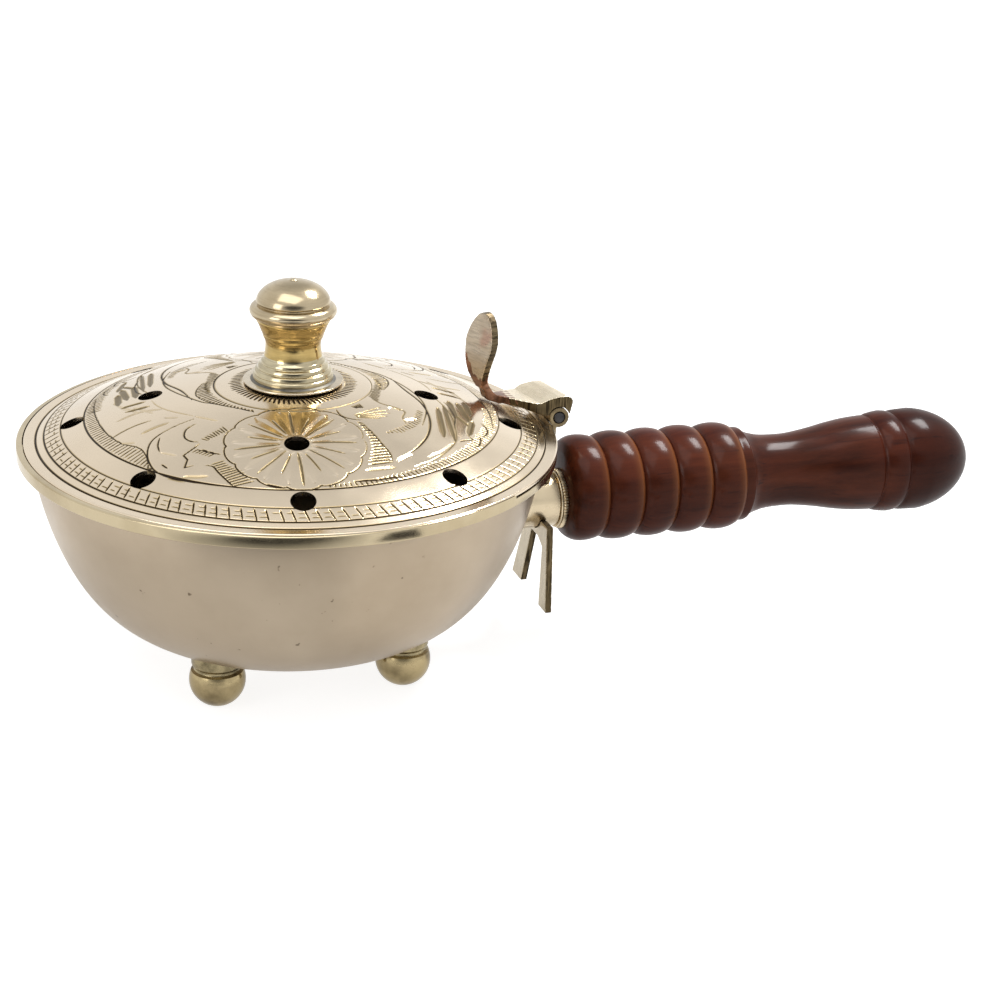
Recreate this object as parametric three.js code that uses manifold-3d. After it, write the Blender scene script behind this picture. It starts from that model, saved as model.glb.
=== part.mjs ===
// Brass incense pan: a round bowl on four ball feet, a domed lid with smoke holes on a hinge,
// and a turned wooden handle on a socket, with a forked rest below it.
// Millimetres, +Z up, the floor at Z = 0, the handle along +X.

import * as THREE from "three";
import { mergeVertices, toCreasedNormals } from "three/addons/utils/BufferGeometryUtils.js";
import Module from "manifold-3d";

const wasm = await Module();
wasm.setup();

// Clearances
const seatGap = 0.3; // between a piece and the curved face that carries it
const faceGap = 0.1; // between two square faces that meet
const boltFit = 0.3; // round a screw or rod, on the radius
const pinFit = 0.2; // round the hinge pin, on the radius

// Bowl
const bowlDepth = 55.3;
const bowlRimRadius = 75.9;
const bowlRimHeight = 2.5;
const bowlRimFlare = 4.15; // the rim band stands out this far from the wall
const bowlRimRounding = 0.7;
const bowlWall = 1.2;
const bellyPower = 1.338; // how soon the wall starts to draw in below the rim
const bottomPower = 4.94; // how flat the bottom is
const bowlMouth = bowlRimRadius - bowlRimFlare;
const bowlCurveDepth = bowlDepth - bowlRimHeight;

// Ball feet
const footCount = 4;
const footCircle = 38;
const ballRadius = 7.9;
const ballWear = 2; // radius of the worn flat that stands on the floor
const ballTopCut = 3.2; // the ball is cut off this far above its centre
const footNeck = 6.5;
const footNeckStep = 0.3; // from the cut ball to the neck
const footNeckLength = 0.7;
const footCollar = 7.3;
const footCollarRise = 1.5; // the collar's square edge starts this far above the bowl's lowest point
const footHeight = 11.6; // floor to the underside of the bowl

// Lid
const lidInset = 0.9; // the bowl's rim shows this far round the lid
const lidShift = 1.05; // the lid lies this far towards the handle
const lidRadius = bowlRimRadius - lidInset;
const lidRimWidth = 3.45;
const lidSheet = 1.2;
const lidRise = 16.4;
const lidCrown = 13.8; // radius of the flat spot under the knob
const smokeHole = 3.4;
const outerHoleInset = 9.75; // from the foot of the dome to the outer ring of holes
const innerHoleCircle = 38.7;
// Each hole's turn in degrees, and how far off its circle it was drilled
const outerHoles = [
  [-16.2, -0.5], [-59.8, 0.25], [-101.2, 0.35], [-143.1, -0.25],
  [170.5, -0.45], [122.6, 0], [76.9, 0], [31.3, 0],
];
const innerHoles = [[-13.4, -1.2], [-102.2, 0.2], [166.5, 1.1], [78.2, 0]];
const domeBase = lidRadius - lidRimWidth;
const domeRadius = (domeBase ** 2 + lidRise ** 2) / (2 * lidRise);
const crownHeight = domeHeight(lidCrown);
const bowlTop = footHeight + bowlDepth;
const rimHeight = bowlTop + seatGap + lidSheet; // top of the lid's flat rim

// Knob with its boss disc, screw and washer
const bossRadius = 14;
const bossThickness = 0.6;
const knobHeight = 28.8;
const knobBase = 11.3;
const knobNeck = 7.75;
const knobBead = 12.2;
const knobBeadHeight = 19.9; // height of the bead's middle above the knob's base
const knobBeadHalf = 1.75; // half the bead's thickness
const knobBeadRounding = 1.6;
const knobCap = 10.5;
const knobCapStep = 0.6;
// The stem as shares: how far out from neck to base or bead, how high from base to bead
const knobFoot = [[1, 0], [1, 0.06], [0.77, 0.07], [0.72, 0.13], [0.49, 0.15], [0.39, 0.22], [0.18, 0.33]];
const knobThroat = [[0, 0.5], [0.26, 0.66], [0.48, 0.84]];
const screwRadius = 2;
const screwReach = 12; // how far the screw runs up into the knob
const screwHeadRadius = 4.5;
const screwHeadHeight = 2.8;
const knobWasherRadius = 6;
const knobWasherThickness = 1;

// Hinge: pin, fixed leaf and the strap with its hood
const hingeOut = 2.35; // pin centre beyond the lid's edge
const hingeRise = 1.3; // pin centre above the lid's rim
const pinRadius = 1.6;
const pinProud = 0.3;
const barrelRadius = 3;
const hingeHalfWidth = 7.8;
const knuckleHalfWidth = 3;
const knuckleSideGap = 0.3;
const leafThickness = 1.3;
const leafEdgeGap = 0.3; // from the lid's edge to the fixed leaf
const leafShoulder = 6; // the fixed leaf starts to narrow this far below the pin
const leafFootHalfWidth = 3.2;

// Strap: heights are above the pin's middle, reaches are from it back towards the knob
const strapSkew = 12.5; // degrees, the hood and its valley lie askew to the pin
const hoodTop = 6.4;
const hoodFront = 2.35; // the hood's round end, in front of the pin's middle
const hoodCorner = 1.9;
const hoodLip = 0.9; // height of the hood's lower edge
const hoodLipSlope = 0.8; // the round end leans in by this much down to the lip
const hoodFlat = 1.7; // reach of the flat on top of the hood
const valleyReach = 7.45;
const valleyTop = 4.7;
const strapRoot = 1.15; // the strap's underside starts this far in front of the valley
const strapThickness = 2.3;
const neckReach = 17.6; // where the strap starts to bend up
const neckHalfWidth = 1.7;
const neckShift = -0.9; // the neck lies this far to the right of the pin's middle
const fanReach = 11;
const fanHalfWidth = 6.1; // half-width of the fan at that reach
const neckHeel = 1; // the underside of the neck dips this far before the bend
const neckSwell = 0.4; // the plate thickens by this share of itself in the bend
const bendReach = 22.6; // back face of the bend
const bendRise = 1.8; // the thumb leaf starts this far above the strap's underside in the bend
const thumbRise = 22.2; // height of the thumb leaf above its foot
const thumbHalfWidth = 6;
const thumbThickness = 2.45;
const thumbBow = 2.5; // how far its top leans forward of its belly
const thumbTwist = 20; // degrees
// Its outline from the foot up, as shares of height, half-width and bow
const thumbShape = [
  [0, 0.26, 0.7], [0.11, 0.42, 0.26], [0.2, 0.58, 0.04], [0.29, 0.72, 0], [0.38, 0.83, 0.06],
  [0.47, 0.92, 0.18], [0.55, 0.975, 0.34], [0.64, 1, 0.46], [0.73, 0.91, 0.62], [0.82, 0.78, 0.76],
  [0.91, 0.57, 0.94], [0.97, 0.35, 0.98], [1, 0.12, 1],
];
const hingeX = lidShift + lidRadius + hingeOut;
const bendZ = domeHeight(lidRadius + hingeOut - bendReach) + strapThickness - hingeRise;
const bendTop = bendZ + bendRise;

// Handle socket and forked rest
const socketDrop = 27; // socket axis below the lid's rim
const socketRadius = 8;
const socketLength = 9.3;
const socketStandoff = 4.7; // from the bowl wall to the thick part of the socket
const socketNeck = 5.5;
const restThickness = 2;
const restInset = 3.4; // from the socket's inner end to the rest
// The rest seen from the handle: distances to each side of the socket axis and below it
const restCrown = 4; // its top corners
const restDrop = 30.6; // foot of the upright leg
const restFarLift = 1.2; // the splayed leg ends this much higher
const restNearTop = 13;
const restNearFoot = 14.6;
const restNearInside = 8.1;
const restNotchNear = 9; // the notch between the legs
const restNotchFar = 0.4;
const restNotchDrop = 9.5;
const restNotchSlope = 3.8; // its slanted near corner
const restFarTop = 7.2;
const restFarInside = 8;
const restFarFoot = 16.2;
const socketZ = rimHeight - socketDrop;
const socketX = bowlRadiusAt(socketZ) + socketStandoff;
const socketEnd = socketX + socketLength;

// Rod, nut and washers
const rodRadius = 2.5;
const rodInWood = 40;
const rodTail = 2; // rod end beyond the nut
const nutFlats = 8;
const nutThickness = 4;
const saddleRadius = 6;
const saddleThickness = 1.2; // at its thin side
const handleWasherRadius = 8.6;
const handleWasherThickness = 0.6;
const ringRadius = 9;
const ringThickness = 1.5;
const ringRibs = 36;
const ringRibDepth = 0.35;

// Wooden handle
const handleRise = 2.8; // handle axis above the socket axis
const beadCount = 5;
const beadPitch = 10.95;
const beadRadius = 16.3;
const beadValley = 14.7;
const filletStep = 0.5; // the fillet after the last bead lies this far below the valleys
const filletLength = 3.2;
const waistRadius = 11.1;
const waistLength = 46.5; // from the last bead to the first groove
const waistLow = 0.3; // share of the waist's length where it is thinnest
const waistEase = 1.35; // how flat the waist is at its thinnest
const collarStep = 1; // the collar's near edge lies this far inside the bulb
const collarSwell = 0.6; // and it widens by this much up to the second groove
const collarLength = 8.2; // from the first groove to the second
const bulbRadius = 16;
const bulbStraight = 4; // from the second groove to the bulb's widest place
const bulbLength = 25.3;
const grooveDepth = 0.7;
const grooveHalfWidth = 0.8;

const facets = { dish: 48, wood: 28, knob: 28, foot: 18, hole: 12, small: 16 };

const brass = { color: 0xc9b27c, metalness: 1, roughness: 0.3 };
const steel = { color: 0x77757a, metalness: 1, roughness: 0.35 };
const wood = { color: 0x5a2018, metalness: 0, roughness: 0.3 };

// Heights of the curved faces
function domeHeight(radius) {
  return Math.sqrt(domeRadius ** 2 - radius ** 2) - domeRadius + lidRise;
}

function bowlRadiusAt(height) {
  const share = (bowlTop - bowlRimHeight - height) / bowlCurveDepth;
  return bowlMouth * (1 - share ** bellyPower) ** (1 / bottomPower);
}

// The bowl's curve from the axis up to the mouth, drawn in by an inset
function bowlCurve(inset) {
  const steps = 12;
  const points = [];
  for (let i = steps; i >= 0; i -= 1) {
    const turn = (i / steps) * (Math.PI / 2);
    const radius = (bowlMouth - inset) * Math.max(Math.cos(turn), 0) ** (2 / bottomPower);
    const drop = (bowlCurveDepth - inset) * Math.sin(turn) ** (2 / bellyPower);
    points.push([i === steps ? 0 : radius, bowlTop - bowlRimHeight - drop]);
  }
  return points;
}

// Points on a circular or elliptic arc, angles in degrees
function arc(centre, radii, from, to, steps) {
  const points = [];
  for (let i = 0; i <= steps; i += 1) {
    const turn = THREE.MathUtils.degToRad(from + ((to - from) * i) / steps);
    points.push([centre[0] + radii[0] * Math.cos(turn), centre[1] + radii[1] * Math.sin(turn)]);
  }
  return points;
}

// Solid of revolution about Z from a section of [radius, height] points
function turned(points, segments) {
  const section = points.map(([x, y]) => new THREE.Vector2(Math.max(x, 0), y));
  return new THREE.LatheGeometry(section, segments).rotateX(Math.PI / 2);
}

function ringSection(inner, outer, bottom, top) {
  return [[inner, bottom], [outer, bottom], [outer, top], [inner, top], [inner, bottom]];
}

// A solid turned about Z is laid along X
function laidAlongX(geometry) {
  return geometry.rotateY(Math.PI / 2);
}

function outline(points) {
  return new THREE.Shape(points.map(([x, y]) => new THREE.Vector2(x, y)));
}

// A side view of [x, z] points, extruded across Y about the middle plane
function acrossY(points, halfWidth) {
  const options = { depth: 2 * halfWidth, bevelEnabled: false };
  const geometry = new THREE.ExtrudeGeometry(outline(points), options);
  return geometry.rotateX(Math.PI / 2).translate(0, halfWidth, 0);
}

// A front view of [y, z] points, extruded along X from a start
function alongX(points, start, length) {
  const geometry = new THREE.ExtrudeGeometry(outline(points), { depth: length, bevelEnabled: false });
  const turn = new THREE.Matrix4().makeBasis(
    new THREE.Vector3(0, 1, 0),
    new THREE.Vector3(0, 0, 1),
    new THREE.Vector3(1, 0, 0),
  );
  return geometry.applyMatrix4(turn).translate(start, 0, 0);
}

// A plan of [x, y] points, extruded upwards between two heights
function upwards(points, bottom, top) {
  const options = { depth: top - bottom, bevelEnabled: false };
  return new THREE.ExtrudeGeometry(outline(points), options).translate(0, 0, bottom);
}

// Solid through a stack of outlines, each of [x, y, z] points, counter-clockwise from above
function lofted(rows) {
  const count = rows[0].length;
  const corners = [];
  for (let i = 0; i + 1 < rows.length; i += 1) {
    for (let j = 0; j < count; j += 1) {
      const a = i * count + j;
      const b = i * count + ((j + 1) % count);
      corners.push(a, b, b + count, a, b + count, a + count);
    }
  }
  const last = (rows.length - 1) * count;
  for (let j = 1; j + 1 < count; j += 1) {
    corners.push(0, j + 1, j, last, last + j, last + j + 1);
  }
  const geometry = new THREE.BufferGeometry();
  geometry.setAttribute("position", new THREE.Float32BufferAttribute(rows.flat(2), 3));
  geometry.setIndex(corners);
  return geometry;
}

// Booleans
function solid(geometry) {
  const bare = geometry.clone();
  bare.deleteAttribute("normal");
  bare.deleteAttribute("uv");
  const merged = mergeVertices(bare, 1e-4);
  const corners = merged.index.array;
  const kept = [];
  for (let i = 0; i < corners.length; i += 3) {
    const [a, b, c] = corners.slice(i, i + 3);
    if (a !== b && b !== c && c !== a) kept.push(a, b, c);
  }
  const vertProperties = new Float32Array(merged.attributes.position.array);
  const mesh = new wasm.Mesh({ numProp: 3, vertProperties, triVerts: new Uint32Array(kept) });
  return new wasm.Manifold(mesh);
}

function geometryOf(body) {
  const mesh = body.getMesh();
  const geometry = new THREE.BufferGeometry();
  geometry.setAttribute("position", new THREE.BufferAttribute(mesh.vertProperties, 3));
  geometry.setIndex(new THREE.BufferAttribute(mesh.triVerts, 1));
  return geometry;
}

function cut(geometry, ...tools) {
  let body = solid(geometry);
  for (const tool of tools) body = body.subtract(solid(tool));
  return geometryOf(body);
}

function boreAlongX(radius, from, to, z) {
  return new THREE.CylinderGeometry(radius, radius, to - from, facets.small)
    .rotateZ(Math.PI / 2)
    .translate((from + to) / 2, 0, z);
}

function boreAcrossY(radius, halfWidth, x, z) {
  return new THREE.CylinderGeometry(radius, radius, 2 * halfWidth, facets.small).translate(x, 0, z);
}

function rimCorner(height, from, to) {
  const centre = [bowlRimRadius - bowlRimRounding, height];
  return arc(centre, [bowlRimRounding, bowlRimRounding], from, to, 2);
}

// Bowl, with the hole for the rod in its wall
function bowlGeometry() {
  const section = [
    ...bowlCurve(0),
    ...rimCorner(bowlTop - bowlRimHeight + bowlRimRounding, -90, 0),
    ...rimCorner(bowlTop - bowlRimRounding, 0, 90),
    [bowlMouth - bowlWall, bowlTop],
    ...bowlCurve(bowlWall).reverse(),
  ];
  const rodHole = boreAlongX(rodRadius + boltFit, bowlMouth / 2, bowlRimRadius, socketZ);
  return cut(turned(section, facets.dish), rodHole);
}

// Everything inside the bowl's outer face, grown by an inset, up to its rim
function bowlFilled(inset) {
  return turned([...bowlCurve(inset), [0, bowlTop - bowlRimHeight]], facets.dish);
}

// One foot on the +X side: ball, neck and a collar that fits the bowl
function footGeometry() {
  const centre = Math.sqrt(ballRadius ** 2 - ballWear ** 2);
  const low = -THREE.MathUtils.radToDeg(Math.acos(ballWear / ballRadius));
  const high = THREE.MathUtils.radToDeg(Math.asin(ballTopCut / ballRadius));
  const cutHeight = centre + ballTopCut;
  const section = [
    [0, 0],
    ...arc([0, centre], [ballRadius, ballRadius], low, high, 8),
    [footNeck, cutHeight + footNeckStep],
    [footNeck, cutHeight + footNeckStep + footNeckLength],
    [footCollar, footHeight + footCollarRise],
    [footCollar, footHeight + ballRadius],
    [0, footHeight + ballRadius],
  ];
  const ball = turned(section, facets.foot).translate(footCircle, 0, 0);
  return cut(ball, bowlFilled(-seatGap));
}

// Lid, measured from the top of its flat rim, with a shallow notch for the hinge's knuckles
function lidGeometry() {
  const edge = lidSheet / 2;
  const upper = [];
  const lower = [];
  const steps = 7;
  for (let i = 0; i <= steps; i += 1) {
    const radius = lidCrown + ((domeBase - lidCrown) * i) / steps;
    upper.push([radius, domeHeight(radius)]);
    lower.push([radius * (1 - lidSheet / domeRadius), domeHeight(radius) - lidSheet]);
  }
  const section = [
    [0, crownHeight - lidSheet],
    ...lower,
    ...arc([lidRadius - edge, -edge], [edge, edge], -90, 90, 4),
    ...upper.reverse(),
    [0, crownHeight],
  ];
  const holes = [
    new THREE.CylinderGeometry(screwRadius + boltFit, screwRadius + boltFit, 4 * lidRise, facets.small)
      .rotateX(Math.PI / 2),
  ];
  for (const [ring, circle] of [[outerHoles, domeBase - outerHoleInset], [innerHoles, innerHoleCircle]]) {
    for (const [degrees, slip] of ring) {
      const turn = THREE.MathUtils.degToRad(degrees);
      const [x, y] = [(circle + slip) * Math.cos(turn), (circle + slip) * Math.sin(turn)];
      const hole = new THREE.CylinderGeometry(smokeHole, smokeHole, 4 * lidRise, facets.hole);
      holes.push(hole.rotateX(Math.PI / 2).translate(x, y, 0));
    }
  }
  const notch = boreAcrossY(barrelRadius + seatGap, lidRadius / 2, lidRadius + hingeOut, hingeRise);
  return cut(turned(section, facets.dish), ...holes, notch);
}

function bossGeometry() {
  return turned(ringSection(screwRadius + boltFit, bossRadius, 0, bossThickness), facets.knob);
}

// Knob from its base up: stepped foot, throat, bead and low dome
function knobGeometry() {
  const capFoot = knobBeadHeight + knobBeadHalf + knobCapStep;
  const foot = knobFoot.map(([out, up]) => [knobNeck + (knobBase - knobNeck) * out, knobBeadHeight * up]);
  const throat = knobThroat.map(([out, up]) => [knobNeck + (knobBead - knobNeck) * out, knobBeadHeight * up]);
  const bead = [knobBead - knobBeadRounding, knobBeadHeight];
  const section = [
    [screwRadius + boltFit, 0],
    ...foot,
    ...throat,
    ...arc(bead, [knobBeadRounding, knobBeadHalf], -90, 90, 6),
    ...arc([0, capFoot], [knobCap, knobHeight - capFoot], 0, 90, 7).slice(0, -1),
    [0, knobHeight],
    [0, screwReach],
    [screwRadius + boltFit, screwReach],
    [screwRadius + boltFit, 0],
  ];
  return turned(section, facets.knob);
}

function knobWasherGeometry() {
  return turned(ringSection(screwRadius + boltFit, knobWasherRadius, 0, knobWasherThickness), facets.small);
}

// Screw: its head's top is at Z = 0 and its shank runs up
function knobScrewGeometry(length) {
  const section = [
    [0, -screwHeadHeight],
    [screwHeadRadius, -screwHeadHeight],
    [screwHeadRadius, 0],
    [screwRadius, 0],
    [screwRadius, length],
    [0, length],
  ];
  return turned(section, facets.small);
}

// Strap, measured from the pin: hood, fan, neck and upright thumb leaf
function strapGeometry() {
  const neckZ = domeHeight(lidRadius + hingeOut - neckReach) + seatGap - hingeRise;
  const corner = [hoodFront - hoodCorner, hoodTop - hoodCorner];
  const side = [
    [-bendReach, bendTop],
    [-bendReach, bendZ + strapThickness / 2],
    [-bendReach + strapThickness / 2, bendZ],
    [-neckReach - strapThickness, neckZ - neckHeel],
    [-neckReach, neckZ - neckHeel],
    [-neckReach + neckHeel, neckZ],
    [-fanReach - neckHeel, neckZ - neckHeel],
    [-valleyReach + strapRoot, hoodLip],
    [hoodFront - hoodLipSlope, hoodLip],
    ...arc(corner, [hoodCorner, hoodCorner], 0, 90, 4),
    [-hoodFlat, hoodTop],
    [(-hoodFlat - valleyReach) / 2, (2 * hoodTop + valleyTop) / 3],
    [-valleyReach, valleyTop],
    [-fanReach, (2 * valleyTop + neckZ + strapThickness) / 3],
    [-neckReach, neckZ + strapThickness],
    [-neckReach - strapThickness / 2, neckZ + strapThickness * (1 + neckSwell)],
    [-bendReach + strapThickness, bendTop],
  ];
  const turn = THREE.MathUtils.degToRad(strapSkew);
  const bent = acrossY(side, 2 * hingeHalfWidth).rotateZ(turn);
  const plan = upwards(
    [
      [-bendReach - strapThickness, neckShift - neckHalfWidth],
      [-neckReach, neckShift - neckHalfWidth],
      [-fanReach, -fanHalfWidth],
      [-valleyReach, -hingeHalfWidth],
      [2 * hoodFront, -hingeHalfWidth],
      [2 * hoodFront, hingeHalfWidth],
      [-valleyReach, hingeHalfWidth],
      [-fanReach, fanHalfWidth],
      [-neckReach, neckShift + neckHalfWidth],
      [-bendReach - strapThickness, neckShift + neckHalfWidth],
    ],
    -hoodTop,
    2 * bendTop,
  );
  const lidBelow = turned(
    [[0, -lidSheet], [domeBase, -lidSheet], ...domeCapSection(seatGap)],
    facets.dish,
  ).translate(-lidRadius - hingeOut, 0, -hingeRise);
  const knuckleRoom = boreAcrossY(barrelRadius + seatGap, 2 * hingeHalfWidth, 0, 0);
  return geometryOf(
    solid(bent)
      .intersect(solid(plan))
      .subtract(solid(lidBelow))
      .subtract(solid(knuckleRoom))
      .add(solid(thumbLeafGeometry())),
  );
}

// The dome's upper face, raised by a gap, from its foot in to the axis
function domeCapSection(gap) {
  const steps = 14;
  const points = [];
  for (let i = steps; i >= 0; i -= 1) {
    const radius = (domeBase * i) / steps;
    points.push([radius, domeHeight(radius) + gap]);
  }
  return points;
}

// Upright thumb leaf, measured from the pin: bowed, twisted and pointed
function thumbLeafGeometry() {
  const rows = thumbShape.map(([up, out, lean]) => {
    const back = thumbBow * (lean - thumbShape[0][2]);
    const width = thumbHalfWidth * out;
    const front = back + thumbThickness;
    const height = thumbRise * up;
    return [[back, -width, height], [front, -width, height], [front, width, height], [back, width, height]];
  });
  return lofted(rows)
    .rotateZ(THREE.MathUtils.degToRad(thumbTwist))
    .translate(-bendReach, neckShift, bendTop - strapThickness / 2);
}

// Moving knuckle on the pin, which carries the hood
function strapKnuckleGeometry() {
  const body = boreAcrossY(barrelRadius, knuckleHalfWidth, 0, 0);
  return cut(body, boreAcrossY(pinRadius + pinFit, knuckleHalfWidth + 1, 0, 0));
}

function hingePinGeometry() {
  return boreAcrossY(pinRadius, hingeHalfWidth + pinProud, 0, 0);
}

// Fixed leaf, measured from the pin: two knuckles on a plate that stands on the socket
function hingeLeafGeometry() {
  const plateX = leafEdgeGap - hingeOut;
  const foot = socketZ - rimHeight - hingeRise;
  const inner = knuckleHalfWidth + knuckleSideGap;
  const shoulder = -leafShoulder;
  const front = [
    [-leafFootHalfWidth, foot],
    [leafFootHalfWidth, foot],
    [hingeHalfWidth, shoulder],
    [hingeHalfWidth, 0],
    [inner, 0],
    [inner, -barrelRadius - seatGap],
    [-inner, -barrelRadius - seatGap],
    [-inner, 0],
    [-hingeHalfWidth, 0],
    [-hingeHalfWidth, shoulder],
  ];
  const plate = solid(alongX(front, plateX, leafThickness));
  const knuckleHalf = (hingeHalfWidth - inner) / 2;
  const barrel = solid(boreAcrossY(barrelRadius, knuckleHalf, 0, 0));
  const saddle = boreAlongX(socketRadius + seatGap, 2 * plateX, leafThickness, foot);
  return geometryOf(
    plate
      .add(barrel.translate([0, inner + knuckleHalf, 0]))
      .add(barrel.translate([0, -inner - knuckleHalf, 0]))
      .subtract(solid(boreAcrossY(pinRadius + pinFit, hingeHalfWidth + 1, 0, 0)))
      .subtract(solid(saddle)),
  );
}

// Socket: a short thick tube with a narrower neck that meets the bowl wall
function socketGeometry() {
  const neckStart = socketX - 2 * socketStandoff;
  const bore = rodRadius + boltFit;
  const section = [
    [bore, neckStart],
    [socketNeck, neckStart],
    [socketNeck, socketX],
    [socketRadius, socketX],
    [socketRadius, socketEnd],
    [bore, socketEnd],
    [bore, neckStart],
  ];
  const body = laidAlongX(turned(section, facets.knob)).translate(0, 0, socketZ);
  return cut(body, bowlFilled(-seatGap));
}

// Forked rest under the socket, one leg upright and one splayed, as [y, z] from the socket axis
function forkedRestGeometry() {
  const front = [
    [-restNearTop, -restCrown],
    [-restNearFoot, -restDrop],
    [-restNearInside, -restDrop],
    [-restNotchNear, -restNotchDrop - restNotchSlope / 2],
    [-restNotchNear + restNotchSlope, -restNotchDrop],
    [restNotchFar, -restNotchDrop],
    [restFarInside, restFarLift - restDrop],
    [restFarFoot, restFarLift - restDrop],
    [restFarTop, -restNotchDrop],
    [restFarTop, -restCrown],
  ];
  const start = socketX + restInset;
  const body = alongX(front, start, restThickness).translate(0, 0, socketZ);
  const saddle = boreAlongX(socketRadius + seatGap, start - 1, start + restThickness + 1, socketZ);
  return cut(body, saddle);
}

// Tapered washer between the nut and the sloping inside of the bowl
function saddleWasherGeometry(start) {
  const bore = rodRadius + boltFit;
  const ring = laidAlongX(turned(ringSection(bore, saddleRadius, start, bowlRimRadius), facets.knob));
  const washer = solid(ring.translate(0, 0, socketZ)).intersect(solid(bowlFilled(bowlWall + seatGap)));
  return geometryOf(washer);
}

function nutGeometry() {
  const corner = nutFlats / Math.sqrt(3);
  const bore = rodRadius + boltFit;
  const hexagon = new THREE.CylinderGeometry(corner, corner, nutThickness, 6).rotateZ(Math.PI / 2);
  return cut(hexagon.translate(nutThickness / 2, 0, 0), boreAlongX(bore, -1, nutThickness + 1, 0));
}

function handleWasherGeometry() {
  const section = ringSection(rodRadius + boltFit, handleWasherRadius, 0, handleWasherThickness);
  return laidAlongX(turned(section, facets.knob));
}

// Ribbed ring: ribs run parallel to the axis
function ribbedRingGeometry() {
  const points = [];
  for (let i = 0; i < 2 * ringRibs; i += 1) {
    const turn = (Math.PI * i) / ringRibs;
    const radius = i % 2 ? ringRadius - ringRibDepth : ringRadius;
    points.push([radius * Math.cos(turn), radius * Math.sin(turn)]);
  }
  const bore = boreAlongX(rodRadius + boltFit, -1, ringThickness + 1, 0);
  return cut(alongX(points, 0, ringThickness), bore);
}

// Wooden handle from its square end: beads, waist, two grooves and a round end
function handleGeometry() {
  const beads = [];
  const sagitta = beadRadius - beadValley;
  const beadCurve = (beadPitch ** 2 / 4 + sagitta ** 2) / (2 * sagitta);
  const halfTurn = THREE.MathUtils.radToDeg(Math.asin(beadPitch / 2 / beadCurve));
  for (let i = 0; i < beadCount; i += 1) {
    const middle = [beadRadius - beadCurve, beadPitch * (i + 0.5)];
    beads.push(...arc(middle, [beadCurve, beadCurve], -halfTurn, halfTurn, 4).slice(i ? 1 : 0));
  }
  const waistStart = beadCount * beadPitch + filletLength;
  const firstGroove = beadCount * beadPitch + waistLength;
  const waistEnd = firstGroove - grooveHalfWidth;
  const collarRadius = bulbRadius - collarStep;
  const waist = [];
  const waistSteps = 8;
  for (let i = 0; i <= waistSteps; i += 1) {
    const share = i / waistSteps;
    const edge = share < waistLow ? beadValley - filletStep : collarRadius;
    const distance = share < waistLow ? 1 - share / waistLow : (share - waistLow) / (1 - waistLow);
    const rise = (edge - waistRadius) * (1 - Math.cos((Math.PI / 2) * distance ** waistEase));
    waist.push([waistRadius + rise, waistStart + (waistEnd - waistStart) * share]);
  }
  const secondGroove = firstGroove + collarLength;
  const bulb = arc([0, secondGroove + bulbStraight], [bulbRadius, bulbLength - bulbStraight], 0, 90, 8);
  const section = [
    [0, 0],
    ...beads,
    ...waist,
    [collarRadius - grooveDepth, firstGroove],
    [collarRadius, firstGroove + grooveHalfWidth],
    [collarRadius + collarSwell, secondGroove - grooveHalfWidth],
    [collarRadius + collarSwell - grooveDepth, secondGroove],
    [collarRadius + collarSwell, secondGroove + grooveHalfWidth],
    ...bulb.slice(0, -1),
    [0, secondGroove + bulbLength],
  ];
  const bore = boreAlongX(rodRadius + boltFit, -1, rodInWood + boltFit, -handleRise);
  return cut(laidAlongX(turned(section, facets.wood)), bore);
}

function place(parent, name, geometry, look, position = [0, 0, 0], turn = 0) {
  const material = new THREE.MeshStandardMaterial(look);
  const mesh = new THREE.Mesh(toCreasedNormals(geometry, Math.PI / 5), material);
  mesh.name = name;
  mesh.position.set(...position);
  mesh.rotation.z = turn;
  parent.add(mesh);
}

// Fixed pieces, from the bowl's axis on the floor
const pan = new THREE.Group();
place(pan, "bowl", bowlGeometry(), brass);
const footNames = ["foot_rear_left", "foot_front_left", "foot_front_right", "foot_rear_right"];
for (let i = 0; i < footCount; i += 1) {
  const turn = (2 * Math.PI * (i + 0.5)) / footCount;
  place(pan, footNames[i], footGeometry(), brass, [0, 0, 0], turn);
}
const hingeAt = [hingeX, 0, rimHeight + hingeRise];
place(pan, "hinge_leaf", hingeLeafGeometry(), brass, hingeAt);
place(pan, "hinge_pin", hingePinGeometry(), steel, hingeAt);
place(pan, "handle_socket", socketGeometry(), brass);
place(pan, "forked_rest", forkedRestGeometry(), brass);

const washerX = socketEnd + faceGap;
const ringX = washerX + handleWasherThickness + faceGap;
const handleX = ringX + ringThickness + faceGap;
place(pan, "handle_washer", handleWasherGeometry(), brass, [washerX, 0, socketZ]);
place(pan, "ribbed_ring", ribbedRingGeometry(), brass, [ringX, 0, socketZ]);
place(pan, "wooden_handle", handleGeometry(), wood, [handleX, 0, socketZ + handleRise]);

const wallInside = bowlRadiusAt(socketZ - saddleRadius) - bowlWall - seatGap;
const saddleX = Math.sqrt(wallInside ** 2 - saddleRadius ** 2) - saddleThickness - bowlWall / 2;
const nutX = saddleX - faceGap - nutThickness;
const rodStart = nutX - rodTail;
const rodEnd = handleX + rodInWood;
place(pan, "saddle_washer", saddleWasherGeometry(saddleX), brass);
place(pan, "rod_nut", nutGeometry(), steel, [nutX, 0, socketZ]);
place(pan, "handle_rod", boreAlongX(rodRadius, rodStart, rodEnd, socketZ), steel);

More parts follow.
